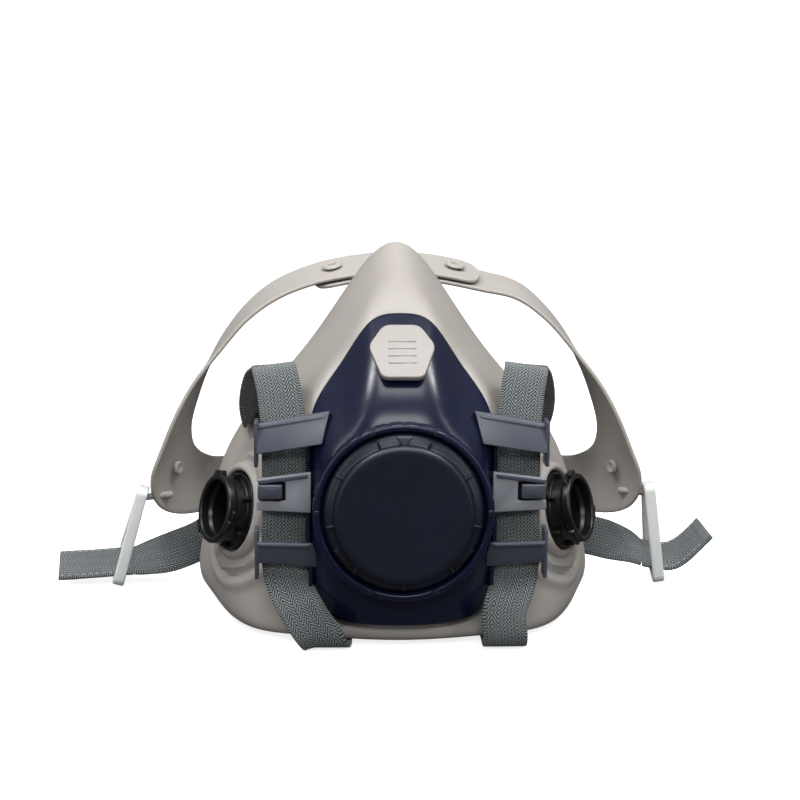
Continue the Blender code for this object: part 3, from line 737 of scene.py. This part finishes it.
GUIDE_BLOCKS = (
    # name, low corner, high corner, look, bevel
    ("rail", (47.7, 19.0, 22.6), (49.0, 27.0, 39.4), "bars", 0.35),
    ("rail", (47.7, 19.0, 60.8), (49.0, 27.0, 76.0), "bars", 0.35),
    # A thin black plate behind the lock tab's slot: painted shade in the pocket.
    ("pocket_painted_shade", (38.2, 21.0, 49.2), (47.6, 21.4, 56.4), "black", 0),
    # Webs tie the bars' inner ends to the yoke beside the strap.
    ("web", (30.4, 19.2, 59.0), (31.8, 23.5, 70.0), "yoke", 0.3),
    ("web", (30.4, 18.4, 35.0), (31.8, 22.0, 46.0), "yoke", 0.3),
    ("web", (29.6, 19.2, 19.5), (31.0, 22.5, 27.5), "yoke", 0.3),
)
LOCK_TAB_BLOCKS = (
    ("tab", (39.7, 17.0, 50.4), (47.8, 19.8, 55.2), "bars", 0.5),
    *(("rib", (x, 16.8, 51.4), (x + 0.6, 17.2, 54.2), "bars", 0.15) for x in (41.2, 42.6, 44.0)),
)


def guide_bar(row, side):
    """A bar across the strap, with a raised lip that catches the light along its upper edge."""
    corners = [(x * side, y, z) for x, y, z in GUIDE_BARS[row]]
    # The middle bar takes the paler look, a painted highlight.
    bar = slab(f"bar_{row}", corners, BAR_THICK, "mid_bar_painted_highlight" if row == "mid" else "bars", 0)
    if row == "mid":
        cut(bar, block("slot", *sided((38.6, 10, 49.5), (50.0, 26, 56.1), side), "bars", 0))
    ease(bar, 0.45)
    inner, outer = Vector(corners[0]), Vector(corners[3])
    down = (Vector(corners[1]) - inner).normalized() * 1.3
    start, end = inner.lerp(outer, 0.06), inner.lerp(outer, 0.97)
    lip = [start, start + down, end + down, end]
    return [bar, slab("lip", [p + Vector((0, -0.45, -0.4)) for p in lip], 1.2, "bars", 0.22)]


def make_guides(side, word):
    """Three bars and two outer rails that hold the strap against the yoke, and the lock tab."""
    parts = [part for row in GUIDE_BARS for part in guide_bar(row, side)]
    parts += side_blocks(GUIDE_BLOCKS, side)
    stand_for(join(f"strap_guides_{word}", parts), "mask", "yoke_plastic")
    tab = join(f"lock_tab_{word}", side_blocks(LOCK_TAB_BLOCKS, side))
    stand_for(tab, f"lock_tab_{word}", "yoke_plastic", f"strap_lock_tab_{word}")


def make_yoke():
    yoke = shell("yoke_shell", [front_contour(t) for t in (0.0, 0.3, 0.65, 1.0)], 1.8, "yoke",
                 levels=4)
    ease_rim = yoke.modifiers.new("Rim", "BEVEL")
    ease_rim.width = 0.5 * MM
    ease_rim.segments = 2
    ease_rim.limit_method = "ANGLE"
    ease_rim.angle_limit = math.radians(50)
    apply_modifiers(yoke)
    smooth(yoke, 40)
    stand_for(yoke, "mask", "yoke_plastic", "front_yoke")
    for side, word in ((-1, "left"), (1, "right")):
        make_guides(side, word)


def make_badge():
    """Six-sided soft badge on the yoke's ridge, with plain grip ribs."""
    low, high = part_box("size_badge")
    middle = (Vector((low + high)) / 2 - ORIGIN) / MM
    tilt = Matrix.Rotation(math.radians(43), 3, "X")
    corners = [(-6.0, 11.2), (6.0, 11.2), (11.2, 2.6), (6.8, -11.0), (-6.8, -11.0), (-11.2, 2.6)]
    outline = rounded_profile(corners, 2.4, True, (0, 0.25, 0.5, 0.75, 1))

    def crowned(x):
        return 1 - (x / 11.2) ** 2

    def place(x, y, z):
        return middle + tilt @ Vector((x, y, z + (0.5 * crowned(x) if z > 0 else 0) - 0.2))

    def raised(x, y, z):
        return middle + tilt @ Vector((x, y, z + 0.3 * crowned(x)))

    parts = [prism("badge", outline, -0.9, 0.9, "badge", 0.45, place)]
    for number in range(4):
        y = 4.6 - 3.0 * number
        rib = [(-4.6, y), (4.6, y), (4.6, y - 0.9), (-4.6, y - 0.9)]
        parts.append(prism("rib", rib, 0.5, 1.05, "badge", 0.25, raised))
    stand_for(join("badge", parts), "mask", "badge_plastic", "size_badge")


# ---- exhalation unit


FORWARD = Vector((0, -1, 0))
VALVE_ORIGIN = Vector((0, 0, VALVE_Z))


def on_face(radius, degrees, depth):
    """A point behind the valve's front, with degrees from +X towards +Z."""
    turn = math.radians(degrees)
    return Vector((radius * math.cos(turn), depth, VALVE_Z + radius * math.sin(turn)))


def radial_block(name, radius, degrees, size, depth, look, bevel=0.2):
    """A small block (along the radius, round it, high) standing on the valve's face."""
    long, wide, tall = (s / 2 for s in size)
    centre = on_face(radius, degrees, depth)
    turn = Matrix.Rotation(-math.radians(degrees), 3, "Y")
    outline = [(-long, -wide), (long, -wide), (long, wide), (-long, wide)]

    def place(x, y, z):
        return centre + turn @ Vector((x, -z, y))
    return prism(name, outline, -tall, tall, look, bevel, place)


def spider(name, radius, low, high, origin, axis, look, hub=3.0, bars=2):
    """Cross bars and a hub across a bore."""
    outline = [(-radius, -1.0), (radius, -1.0), (radius, 1.0), (-radius, 1.0)]
    parts = [prism(f"{name}_bar", outline, low, high, look, 0.25,
                   about(origin, axis, 180 * number / bars)) for number in range(bars)]
    rim = [(1.5, high + 0.2), (hub, high + 0.2), (hub, low), (1.5, low)]
    return parts + [turned(f"{name}_hub", rim, look, origin, axis, radius=0.2, steps=32)]


def scallop(turn, radius, height):
    """Shallow finger grips round the housing's bezel."""
    if radius > 28.6 and height < -4.0:
        return radius - 0.35 * max(0.0, math.cos(turn * 36)) ** 4, height
    return radius, height


def make_housing():
    housing = [turned(
        "housing",
        [(28.9, -3.6), (HOUSING_R, -4.4), (HOUSING_R, -8.7), (TUBE_R, -8.7), (TUBE_R, -25),
         (20.2, -25), (20.2, -7.1), (27.1, -7.1), (27.1, -4.3), (27.7, -3.6)],
        "yoke", VALVE_ORIGIN, FORWARD, radius=0.5, steps=180, wave=scallop)]
    for degrees in (68, 112, 180, 0, 248, 292):
        housing.append(radial_block("stop", 28.35, degrees, (1.6, 2.2, 1.2), 3.9, "cover", 0.25))
    stand_for(join("valve_housing", housing), "mask", "cover_plastic", "exhalation_housing")


def make_cover():
    parts = [turned(
        "cover",
        [(0, -0.12), (16, -0.05), (20.6, 0), (22.0, -0.15), (22.9, -1.2), (23.1, -3.0),
         (25.2, -3.9), (26.1, -4.7), (26.4, -5.4), (26.4, -6.7), (24.4, -6.7), (21.4, -3.4),
         (19.5, -2.0), (0, -2.0)],
        "cover", VALVE_ORIGIN, FORWARD, solid=True, radius=0.5, steps=144)]
    for number in range(9):
        degrees = 90 + 40 * (number + 0.5)
        parts.append(radial_block("tick", 24.3, degrees, (2.6, 0.9, 1.6), 3.3, "cover", 0.25))
    # Two thin black strips laid on the bevel at the bottom: painted shade standing in for two drain
    # slots.
    for degrees in (218, 322):
        parts.append(radial_block("drain_painted_shade", 24.9, degrees, (1.5, 9.0, 0.5), 3.65, "black", 0.2))
    pointer = [on_face(0, 0, 0) + Vector((x, y, z)) for x, y, z in
               ((-2.6, 2.5, 25.7), (2.6, 2.5, 25.7), (0, 2.5, 21.9))]
    back = [p + Vector((0, 2.2, 0)) for p in pointer]
    arrow = mesh_piece("pointer", [tuple(p) for p in pointer + back],
                       [(0, 1, 2), (5, 4, 3), (3, 4, 1, 0), (4, 5, 2, 1), (5, 3, 0, 2)],
                       "bars", outward=True)
    ease(arrow, 0.3)
    parts.append(arrow)
    stand_for(join("valve_cover_disc", parts), "valve_cover", "cover_plastic", "exhalation_cover")


def notches(deep, count, outside, share):
    """A turned profile's wave that cuts square notches into everything past a radius."""
    def notched(turn, radius, height):
        if radius > outside:
            return radius - deep * (math.cos(turn * count) > share), height
        return radius, height
    return notched


def make_valve():
    """The seat and flap behind the cover, and the ring that clamps the facepiece on."""
    seat = [turned("seat", [(19.7, -17.2), (19.7, -20.2), (16.0, -20.2), (16.0, -17.6), (17.0, -17.0)],
                   "black", VALVE_ORIGIN, FORWARD)]
    seat += spider("seat", 16.6, -20.2, -18.2, VALVE_ORIGIN, FORWARD, "black", bars=3)
    stand_for(join("valve_seat", seat), "mask", "black_plastic", "exhalation_valve_seat")

    flap = turned("exhalation_flap_disc",
                  [(0, -15.7), (2.2, -15.8), (3.0, -16.2), (17.2, -16.1), (18.2, -16.5),
                   (17.4, -16.8), (1.1, -16.8), (1.1, -21.4), (1.6, -21.8), (0.9, -22.5),
                   (0, -22.5)],
                  "flap", VALVE_ORIGIN, FORWARD, solid=True, radius=0.15)
    stand_for(flap, "exhalation_flap", "valve_silicone", "exhalation_valve_flap")

    clamp = turned("clamp_ring",
                   [(25.6, -22.1), (25.6, -24.6), (23.0, -24.6), (23.0, -22.1)],
                   "black", VALVE_ORIGIN, FORWARD, radius=0.4, steps=144,
                   wave=notches(0.7, 12, 25, 0.6))
    stand_for(clamp, "mask", "black_plastic", "facepiece_clamp_ring")


# ---- inhalation ports


PORT_TEETH = (
    # name, first angle, how many, low, high, bevel, outline
    ("lug", 100, 3, -2.6, -0.2, 0.35, ((10.4, -2.6), (13.3, -2.4), (13.4, 2.4), (10.4, 2.6))),
    ("ramp", 100, 3, -2.5, -1.3, 0.3, ((10.6, 2.6), (12.9, 2.6), (12.2, 5.6), (10.6, 6.0))),
    ("key", 30, 6, -8.6, -5.4, 0.25, ((10.5, -0.7), (13.0, -0.6), (13.0, 0.6), (10.5, 0.7))),
)


def make_port(side, word):
    point, axis = port_frame(side)
    body = turned(
        f"port_{word}",
        [(PORT_R - 0.4, 0), (PORT_R, -0.5), (PORT_R, -2.6), (PORT_R - 0.5, -3.1), (10.9, -3.6),
         (10.9, -7.6), (11.8, -8.0), (13.3, -8.2), (13.3, -9.9), (9.9, -9.9), (9.9, -20.4),
         (8.7, -20.4), (8.7, -12.2), (9.3, -11.6), (9.3, -4.4), (10.0, -3.2), (10.0, -0.4),
         (PORT_R - 1.5, 0)],
        "black", point, axis, radius=0.3)
    parts = [body]
    for name, first, count, low, high, bevel, outline in PORT_TEETH:
        for number in range(count):
            place = about(point, axis, first + 360 / count * number)
            parts.append(prism(name, outline, low, high, "black", bevel, place))
    parts += spider("port", 9.0, -20.4, -18.8, point, axis, "black", hub=2.6, bars=3)
    stand_for(join(f"port_{word}", parts), "mask", "black_plastic", f"inhalation_port_{word}")

    gasket = turned(f"gasket_{word}",
                    [(13.0, -10.15), (13.7, -10.5), (13.8, -11.2), (10.3, -11.2), (10.3, -10.2)],
                    "seal", point, axis, radius=0.2, steps=72)
    stand_for(gasket, "mask", "gasket_rubber", f"port_gasket_{word}")

    retainer = turned(f"retainer_{word}",
                      [(13.6, -17.0), (13.6, -19.4), (10.3, -19.4), (10.3, -17.0)],
                      "black", point, axis, radius=0.35, steps=112,
                      wave=notches(0.5, 14, 13.2, 0.3))
    stand_for(retainer, "mask", "black_plastic", f"port_retainer_{word}")
    flap = turned(f"inhalation_flap_disc_{word}",
                  [(0, -15.6), (0.7, -15.6), (1.1, -16.3), (1.1, -20.8), (8.9, -20.8),
                   (9.5, -21.1), (9.0, -21.4), (2.2, -21.4), (1.6, -21.9), (0, -22.0)],
                  "flap", point, axis, solid=True, radius=0.12, steps=64)
    stand_for(flap, f"inhalation_flap_{word}", "valve_silicone", f"inhalation_valve_flap_{word}")


# ---- harness


STRAP_FOOT = FLOOR + WEB_THICK / 2 + 0.1
GUIDE_X = 34.5
SIDES = {
    "left": {"side": -1, "chin": -24.0, "ring": (-103.0, 98.0), "pin": (-91.8, 98.0, 32.5),
             "lift": 0.0},
    "right": {"side": 1, "chin": 35.0, "ring": (101.5, 99.0), "pin": (95.4, 99.0, 33.5),
              "lift": 2.0},
}


def mirrored(keys, side):
    """Strap keys written for the +X side, on either side."""
    return [(side * x, y, z, side * a, b, c) for x, y, z, a, b, c in keys]


def neck_keys():
    """From the neck clasp forward along the floor."""
    return [
        (19.8, 113.0, STRAP_FOOT + 1.0, 0, 1, 0),
        (26.0, 107.5, STRAP_FOOT + 0.3, 0.62, 0.78, 0),
        (31.0, 92.0, STRAP_FOOT, 1, 0.2, 0),
        (32.5, 72.0, STRAP_FOOT, 1, 0, 0),
    ]


def front_keys(chin):
    """Along the floor, up under the guide bars and over the top loop."""
    return [
        (32.5, 72.0, STRAP_FOOT, 1, 0, 0),
        ((chin + 32.5) / 2, 50.0, STRAP_FOOT, 1, 0, 0),
        (chin, 31.0, STRAP_FOOT, 1, 0, 0),
        (chin + (GUIDE_X - chin) * 0.04, 18.6, STRAP_FOOT + 0.2, 1, 0, 0),
        (chin + (GUIDE_X - chin) * 0.25, 14.2, 3.4, 1, 0, 0.05),
        (chin + (GUIDE_X - chin) * 0.85, 15.6, 12.5, 1, 0, -0.12),
        (38.9, 22.0, 25.0, 1, 0, -0.04),
        (39.1, 23.4, 48.0, 1, 0, 0),
        (39.3, 25.6, 70.0, 1, 0, 0),
        (40.6, 29.4, 83.0, 1, 0, -0.1),
        (42.3, 34.0, 90.6, 1, 0, -0.12),
        (43.0, 40.0, 91.6, 1, 0, -0.12),
    ]


def rear_keys(rx, ry, lift):
    """From the top loop over the facepiece's shoulder, down behind it and out to the ring."""
    return [
        (43.0, 40.0, 91.6, 1, 0, -0.12),
        (45.6, 50.5, 87.6, 1, 0, -0.16),
        (48.2, 59.0, 79.6, 0.9, 0, -0.42),
        (49.6, 68.5, 71.0, 0.62, 0, -0.78),
        (50.0, 79.0, 71.5, 0.6, 0, -0.8),
        (49.2, 89.0, 75.0, 0.66, 0, -0.75),
        (47.6, 98.6, 72.6, 0.74, 0, -0.67),
        (45.6, 105.5, 63.5, 0.87, 0, -0.48),
        (44.6, 109.0, 52.0, 1, 0, -0.08),
        (48.0, 110.0, 39.0, 0.86, 0, 0.5),
        (57.5, 109.0, 25.5 + lift / 2, 0.55, 0, 0.83),
        (70.0, 106.0, 15.8 + lift, 0.2, 0, 0.98),
        (rx - 21, ry + 5.6, 10.8 + lift * 2, 0, 0.3, 0.95),
        (rx - 11.5, ry + 5.8, 8.2 + lift * 1.8, 0, 0.7, 0.72),
        (rx - 5.8, ry + 6.2, 6.9 + lift, 0, 0.87, 0.5),
    ]


def tail_keys(side, rx, ry, lift):
    """From the ring to the hemmed end: the left tail lies straight, the right one curls up."""
    here = (0, 0.87, 0.5)
    start = (rx - 5.6, ry + 6.2, 6.9 + lift, *here)
    if side < 0:
        return [start, (rx + 8, ry + 6.2, 5.8, *here), (rx + 22.3, ry + 5.8, 5.0, *here)]
    return [
        start,
        (rx + 3.5, ry + 6.2, 7.4, *here),
        (rx + 9.0, ry + 6.2, 9.4, *here),
        (rx + 14.0, ry + 5.8, 14.0, *here),
        (rx + 18.2, ry + 5.4, 18.6, *here),
    ]


def make_straps():
    for word, data in SIDES.items():
        s, lift = data["side"], data["lift"]
        rx, ry = s * data["ring"][0], data["ring"][1]
        front_rows = front_keys(s * data["chin"])
        if s < 0:
            neck, _ = strap("strap_neck_left_web", mirrored(neck_keys(), s))
            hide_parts("strap_neck_left")
            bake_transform(neck)
        else:
            front_rows = neck_keys()[:-1] + front_rows
        front, _ = strap(f"strap_front_{word}_web", mirrored(front_rows, s))
        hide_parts(f"strap_front_{word}")
        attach(front, "mask")
        rear, _ = strap(f"strap_rear_{word}_web", mirrored(rear_keys(rx, ry, lift), s))
        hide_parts(f"strap_rear_{word}")
        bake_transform(rear)
        tail, tail_rows = strap(f"strap_tail_{word}_web", mirrored(tail_keys(s, rx, ry, lift), s), 16)
        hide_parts(f"strap_tail_{word}")
        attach(tail, f"ring_{word}")
        shown = tail_rows[8:]
        for offset in (6.2, -6.2):
            stitch_row(f"tail_stitches_{word}_{'top' if offset > 0 else 'low'}", shown[:, :3],
                       shown[:, 3:6], offset, f"ring_{word}")
        make_hem(word, tail_rows)


def make_hem(word, rows):
    """The tail's folded-back end: a thicker band over its last stretch."""
    tip = rows[-9:]
    along = unit(tip[-1, :3] - tip[-2, :3])
    path = tip[:, :3].copy()
    path[-1] += along * 0.15
    outline = band_section(WEB - 0.3, WEB_THICK + 0.35, 0.6, flats=8)
    hem = woven_band(f"tail_hem_{word}", path, tip[:, 3:6], outline)
    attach(hem, f"ring_{word}")


CRADLE_FRONT = (
    (0, 104, 116.5), (16, 104, 115), (31, 104, 112), (44.5, 103, 106.8), (56, 101, 98.8),
    (66, 99.5, 87.5), (75.5, 97, 75.5), (82, 95, 64), (87.5, 94, 51), (91, 94, 41.5),
    (91, 97.5, 33), (87.5, 103.5, 26.5), (80, 114, 22.5), (67, 134, 20.5), (46, 153, 20.3),
    (23, 163, 20.4),
)
CRADLE_REAR = (
    (0, 127, 121.5), (15, 127, 120.3), (31, 126, 117), (46, 125, 110.6), (56.5, 123.5, 102),
    (65, 121.5, 91), (71.5, 120, 78.5), (75.5, 119.3, 67.5), (78, 119, 58), (78, 120.5, 51),
    (76.5, 124, 46.5), (73.5, 130.5, 42.8), (69, 139, 40), (59, 150.5, 39), (42, 161, 38.5),
    (21, 167, 38.5),
)
CRADLE_BACK = ((0, 166, 20.5), (0, 169, 38.5))
SNAP_X = (-24.0, 21.7)
SPARE_X = -50.0
LAYER_DROP = 2.2
END_ROUND = 7.0


def arm_over(table, side, drop):
    """The stretch of an arm that crosses the top to the far side, lowered by a layer."""
    far = [(-side * x, y, z - drop) for x, y, z in table[2:0:-1]]
    near = [(side * x, y, z - drop) for x, y, z in table[:3]]
    return far + near


def cradle_edge(table, back):
    """One edge of the band: the outer arm's end, round the back, to the inner arm's end."""
    left_top = arm_over(table, -1, 0.0)
    left_side = [(-x, y, z) for x, y, z in table[3:]]
    right_side = list(table[:2:-1])
    right_top = arm_over(table, 1, LAYER_DROP)[::-1]
    edge = left_top + left_side + [back] + right_side + right_top
    return [(x + CRADLE_X, y, z) for x, y, z in edge]


def cradle_ribbon():
    """The band's middle line, with its directions sideways and through, and its width."""
    front = smooth_path(cradle_edge(CRADLE_FRONT, CRADLE_BACK[0]), 8)
    rear = smooth_path(cradle_edge(CRADLE_REAR, CRADLE_BACK[1]), 8)
    middle = (front + rear) / 2
    width = np.linalg.norm(rear - front, axis=1)
    # Both free ends are rounded off in plan.
    along = travelled(middle)
    reach = np.minimum(along, along[-1] - along)
    round_off = END_ROUND - np.sqrt(np.clip(END_ROUND**2 - (END_ROUND - reach) ** 2, 0, None))
    width = np.maximum(width - 2 * np.where(reach < END_ROUND, round_off, 0), 4.0)
    through = unit(np.cross(np.gradient(middle, axis=0), rear - front))
    return middle, unit(rear - front), through, width


def cradle_band(ribbon):
    """The ribbon made solid, with thickened edges."""
    rings = []
    for centre, side, up, wide in zip(*ribbon):
        ring = []
        for a, b in band_section(wide, 1.55, 0.75, flats=14):
            near_edge = min(wide / 2 - abs(a), 2.4) / 2.4
            thin = 1.0 - 0.22 * min(1.0, max(0.0, near_edge - 0.35) * 2.2)
            ring.append(centre + side * a + up * b * thin)
        rings.append(ring)
    return loft("cradle_band", rings, "cradle", angle=50)


def punch(piece, radius, deep, at, up):
    """A round hole through a band."""
    profile = [(0, 6), (radius, 6), (radius, -deep), (0, -deep)]
    cut(piece, turned("hole", profile, "cradle", at, up, solid=True, radius=0.02, steps=40))


def snap_stud(cradle, number, x):
    """A stud through both crown arms, in its own hole."""
    up = Vector((math.copysign(0.2, x), -0.22, 0.95)).normalized()
    at = Vector((x + CRADLE_X, 115.3, 121.1 - 0.205 * abs(x)))
    punch(cradle, 2.3, 8, at, up)
    stud = turned(
        f"snap_stud_{number}",
        [(0, 0.4), (1.1, 0.5), (1.5, 2.2), (2.0, 2.5), (3.3, 2.4), (3.8, 1.8), (3.8, 1.5),
         (1.9, 1.5), (1.9, -3.9), (3.2, -3.9), (3.0, -5.0), (0, -5.0)],
        "cradle", at, up, solid=True, radius=0.3, steps=56)
    stand_for(stud, "harness", "cradle_plastic", f"cradle_snap_stud_{number}")


def lobe_fittings(side, pin):
    """The pin that carries one lobe's ring, and a small moulded boss on its inner face."""
    start, end = pin - Vector((side * 9, -6, 0)), pin + Vector((side * 3.6, 0, 0))
    length = (end - start).length
    boss_at = Vector((side * 82.5 + CRADLE_X, 107.8, 42.0))
    inward = Vector((-side * 0.86, -0.5, 0.0)).normalized()
    return [
        turned("pin", [(0, length), (1.3, length), (1.3, 0), (0, 0)], "cradle", start, end - start,
               solid=True, radius=0.35, steps=32),
        turned("boss", [(0, 0.75), (1.0, 0.9), (1.9, 1.35), (2.4, 1.2), (2.6, 0.0), (0, 0.0)],
               "cradle", boss_at, inward, solid=True, radius=0.25, steps=40),
    ]


def make_cradle():
    """A moulded ribbon whose two crown arms overlap and snap together."""
    ribbon = cradle_ribbon()
    cradle = cradle_band(ribbon)
    for number, x in enumerate(SNAP_X, 1):
        snap_stud(cradle, number, x)
    # A spare adjustment slot further down the outer arm.
    middle, _, through, _ = ribbon
    i = int(np.argmin(np.abs(middle[: len(middle) // 2, 0] - SPARE_X)))
    up = Vector(through[i]) if through[i][2] > 0 else -Vector(through[i])
    punch(cradle, 2.9, 6, Vector(middle[i]), up)
    smooth(cradle, 45)
    parts = [cradle]
    for data in SIDES.values():
        parts += lobe_fittings(data["side"], Vector(data["pin"]))
    stand_for(join("cradle", parts), "harness", "cradle_plastic", "head_cradle")


def rounded_loop(corners, radius, steps=8):
    """A closed polygon with each corner replaced by an arc, and points along its sides."""
    corners = np.array(corners, float)
    points = []
    for i, corner in enumerate(corners):
        before = unit(corners[i - 1] - corner)
        after = unit(corners[(i + 1) % len(corners)] - corner)
        half = math.acos(float(np.clip(before @ after, -1, 1))) / 2
        reach = radius / math.tan(half)
        centre = corner + unit(before + after) * radius / math.sin(half)
        start = corner + before * reach - centre
        end = corner + after * reach - centre
        for step in range(steps + 1):
            t = step / steps
            points.append(centre + unit(start * (1 - t) + end * t) * radius)
    return np.array(points)


def make_ring(word, data):
    """Triangular moulded loop with eased edges that hangs on the cradle's pin."""
    side = data["side"]
    rx, ry = data["ring"]
    pin = np.array(data["pin"])
    top = pin + np.array([side * 1.1, 0, 3.4])
    front = np.array([rx, ry - 2.3, FLOOR + RING_WIRE / 2 - 0.6])
    rear = np.array([rx - side * 1.0, ry + 17.6, 9.0])
    normal = unit(np.cross(front - top, rear - top))
    path = rounded_loop([top + (0, 3.4, 0), top - (0, 3.4, 0), front, rear], 1.9)
    outline = band_section(RING_BAND, RING_WIRE - 0.1, 0.55, flats=4)
    rings = band_rings(path, np.tile(normal, (len(path), 1)), outline, closed=True)
    piece = loft(f"ring_{word}", rings, "ring", closed=True, angle=60)
    stand_for(piece, f"ring_{word}", "ring_plastic", f"strap_ring_{word}")


# ---- neck clasp


def clasp_half(name, low, high, top, cuts, first_rib, ribs, extra, body, node):
    """A block with its sockets cut out, grip ribs on its top, and anything extra."""
    half = block(name, low, high, "black", 0)
    for socket in cuts:
        cut(half, block("socket", *socket, "black", 0))
    ease(half, 0.4)
    parts = [half] + [block("tongue", *box, "black", 0.5) for box in extra]
    middle = (low[1] + high[1]) / 2
    for number in range(ribs):
        x = first_rib + 2.1 * number
        parts.append(block("rib", (x, middle - 6.5, top - 0.3), (x + 0.9, middle + 6.5, top),
                           "black", 0.1))
    stand_for(join(f"clasp_{name}", parts), body, "black_plastic", node)


def make_clasp():
    k_low, k_high, h_low, h_high = ((corner - ORIGIN) / MM
                                    for node in ("neck_clasp_keeper", "neck_clasp_hook")
                                    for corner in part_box(node))
    middle = (k_low.y + k_high.y) / 2
    socket = (k_low.x - 2, middle - 4.8, k_low.z - 1), (9.0, middle + 4.8, k_low.z + 3.9)
    web_slot = (14.2, middle - 8, k_low.z - 1), (16.8, middle + 8, k_high.z + 1)
    clasp_half("keeper", k_low, k_high, k_high.z, (socket, web_slot), 0.5, 5, (), "mask",
               "neck_clasp_keeper")
    web_slot = (-16.8, middle - 8, h_low.z - 1), (-14.2, middle + 8, h_high.z + 4)
    tongue = (-5.0, middle - 4.2, h_low.z + 0.4), (8.2, middle + 4.2, h_low.z + 3.2)
    clasp_half("hook", h_low, (-4.2, h_high.y, h_high.z), h_high.z, (web_slot,), -12.6, 4,
               (tongue,), "neck_hook", "neck_clasp_hook")


# ---- stage, light and camera


LAMPS = (
    # name, place, target, size, power
    ("key", (0.0, -0.30, 0.95), (0, 0.02, 0.05), (0.50, 0.40), 4.4),
    ("front", (0.0, -0.95, 0.62), (0, -0.02, 0.05), (0.60, 0.16), 3.2),
    ("high_left", (-0.46, -0.16, 0.84), (0, -0.02, 0.06), (0.10, 0.26), 2.9),
    ("high_right", (0.46, -0.16, 0.84), (0, -0.02, 0.06), (0.10, 0.26), 2.9),
    ("left", (-0.75, -0.55, 0.38), (0, 0, 0.06), (0.07, 0.75), 1.2),
    ("right", (0.75, -0.55, 0.38), (0, 0, 0.06), (0.07, 0.75), 1.2),
)


def area_light(name, place, target, size, power):
    data = bpy.data.lights.new(name, "AREA")
    data.shape = "RECTANGLE"
    data.size, data.size_y = size
    data.energy = power
    lamp = bpy.data.objects.new(name, data)
    lamp.location = place
    lamp.rotation_euler = (Vector(target) - Vector(place)).to_track_quat("-Z", "Y").to_euler()
    bpy.context.scene.collection.objects.link(lamp)


def make_floor():
    """A pale floor that sweeps up into a pale wall far behind the mask."""
    profile = [(-3.0, 0.0), (1.2, 0.0)]
    profile += [(1.2 + 0.8 * math.sin(t * math.pi / 16), 0.8 - 0.8 * math.cos(t * math.pi / 16))
                for t in range(1, 9)]
    profile.append((2.0, 4.0))
    points = [(x, y, z - 0.0004) for y, z in profile for x in (-4.0, 4.0)]
    faces = [(2 * k, 2 * k + 1, 2 * k + 3, 2 * k + 2) for k in range(len(profile) - 1)]
    mesh = bpy.data.meshes.new("floor")
    mesh.from_pydata(points, [], faces)
    floor = bpy.data.objects.new("floor", mesh)
    bpy.context.scene.collection.objects.link(floor)
    smooth(floor, 60)
    pale = Shader("floor_paint", (0.93, 0.93, 0.93), 0.9, Specular_IOR_Level=0.1,
                  Emission_Color=(1, 1, 1, 1), Emission_Strength=0.78)
    pale.color(pale.tint(pale.noise(0.004, 2.0), (0.92, 0.92, 0.92), (0.95, 0.95, 0.95)))
    mesh.materials.append(pale.material)
    # The sweep shows white but throws no light back up on the mask.
    floor.visible_diffuse = False
    floor.visible_glossy = False


def make_sky():
    """Bright overhead, dim near the horizon: a soft box above a white sweep."""
    sky = bpy.data.worlds.new("studio")
    sky.use_nodes = True
    made = Nodes(sky.node_tree)
    background = made.tree.nodes["Background"]
    background.inputs["Strength"].default_value = 1.0
    place = made.node("ShaderNodeTexCoord").outputs["Generated"]
    height = made.node("ShaderNodeSeparateXYZ", {0: place}).outputs["Z"]
    fade = made.node("ShaderNodeValToRGB", {"Fac": height})
    low, high = fade.color_ramp.elements
    low.position, low.color = 0.0, (0.10, 0.10, 0.105, 1)
    high.position, high.color = 0.9, (0.42, 0.42, 0.43, 1)
    # The camera sees plain white wherever the sweep ends.
    seen = made.node("ShaderNodeLightPath").outputs["Is Camera Ray"]
    made.feed(background.inputs["Color"], made.tint(seen, fade.outputs["Color"], (1, 1, 1)))
    bpy.context.scene.world = sky


CAMERA_TARGET = (0, 0, 50.0)
CAMERA_DISTANCE = 609.0
CAMERA_ELEVATION = math.radians(10.0)
CAMERA_AZIMUTH = math.radians(-2.5)
CAMERA_ROLL = math.radians(0.4)
CAMERA_ACROSS = -1.45
CAMERA_ABOVE = 36.25
CAMERA_LENS = 85
CAMERA_SENSOR = 36


def make_camera():
    """The camera looks level with its own axis, a little above and to the left of the target."""
    a, e = CAMERA_AZIMUTH, CAMERA_ELEVATION
    back = Vector((math.sin(a) * math.cos(e), -math.cos(a) * math.cos(e), math.sin(e)))
    level = Vector((math.cos(a), math.sin(a), 0))
    upright = level.cross(-back)
    right = level * math.cos(CAMERA_ROLL) + upright * math.sin(CAMERA_ROLL)
    up = upright * math.cos(CAMERA_ROLL) - level * math.sin(CAMERA_ROLL)
    place = Vector(CAMERA_TARGET) + back * CAMERA_DISTANCE
    place += right * CAMERA_ACROSS + up * CAMERA_ABOVE
    data = bpy.data.cameras.new("camera")
    data.lens = CAMERA_LENS
    data.sensor_width = CAMERA_SENSOR
    data.clip_start = 0.01
    data.clip_end = 20
    camera = bpy.data.objects.new("camera", data)
    rows = [(right[k], up[k], back[k], place[k] * MM + ORIGIN[k]) for k in range(3)]
    camera.matrix_world = Matrix((*rows, (0, 0, 0, 1)))
    bpy.context.scene.collection.objects.link(camera)
    bpy.context.scene.camera = camera


make_camera()
make_floor()
make_sky()
for lamp_row in LAMPS:
    area_light(*lamp_row)
bpy.context.scene.view_settings.view_transform = "Standard"
make_facepiece()
make_yoke()
make_badge()
make_housing()
make_cover()
make_valve()
for port_side, port_word in ((-1, "left"), (1, "right")):
    make_port(port_side, port_word)
make_straps()
make_cradle()
for ring_word, ring_data in SIDES.items():
    make_ring(ring_word, ring_data)
make_clasp()

bpy.context.view_layer.update()
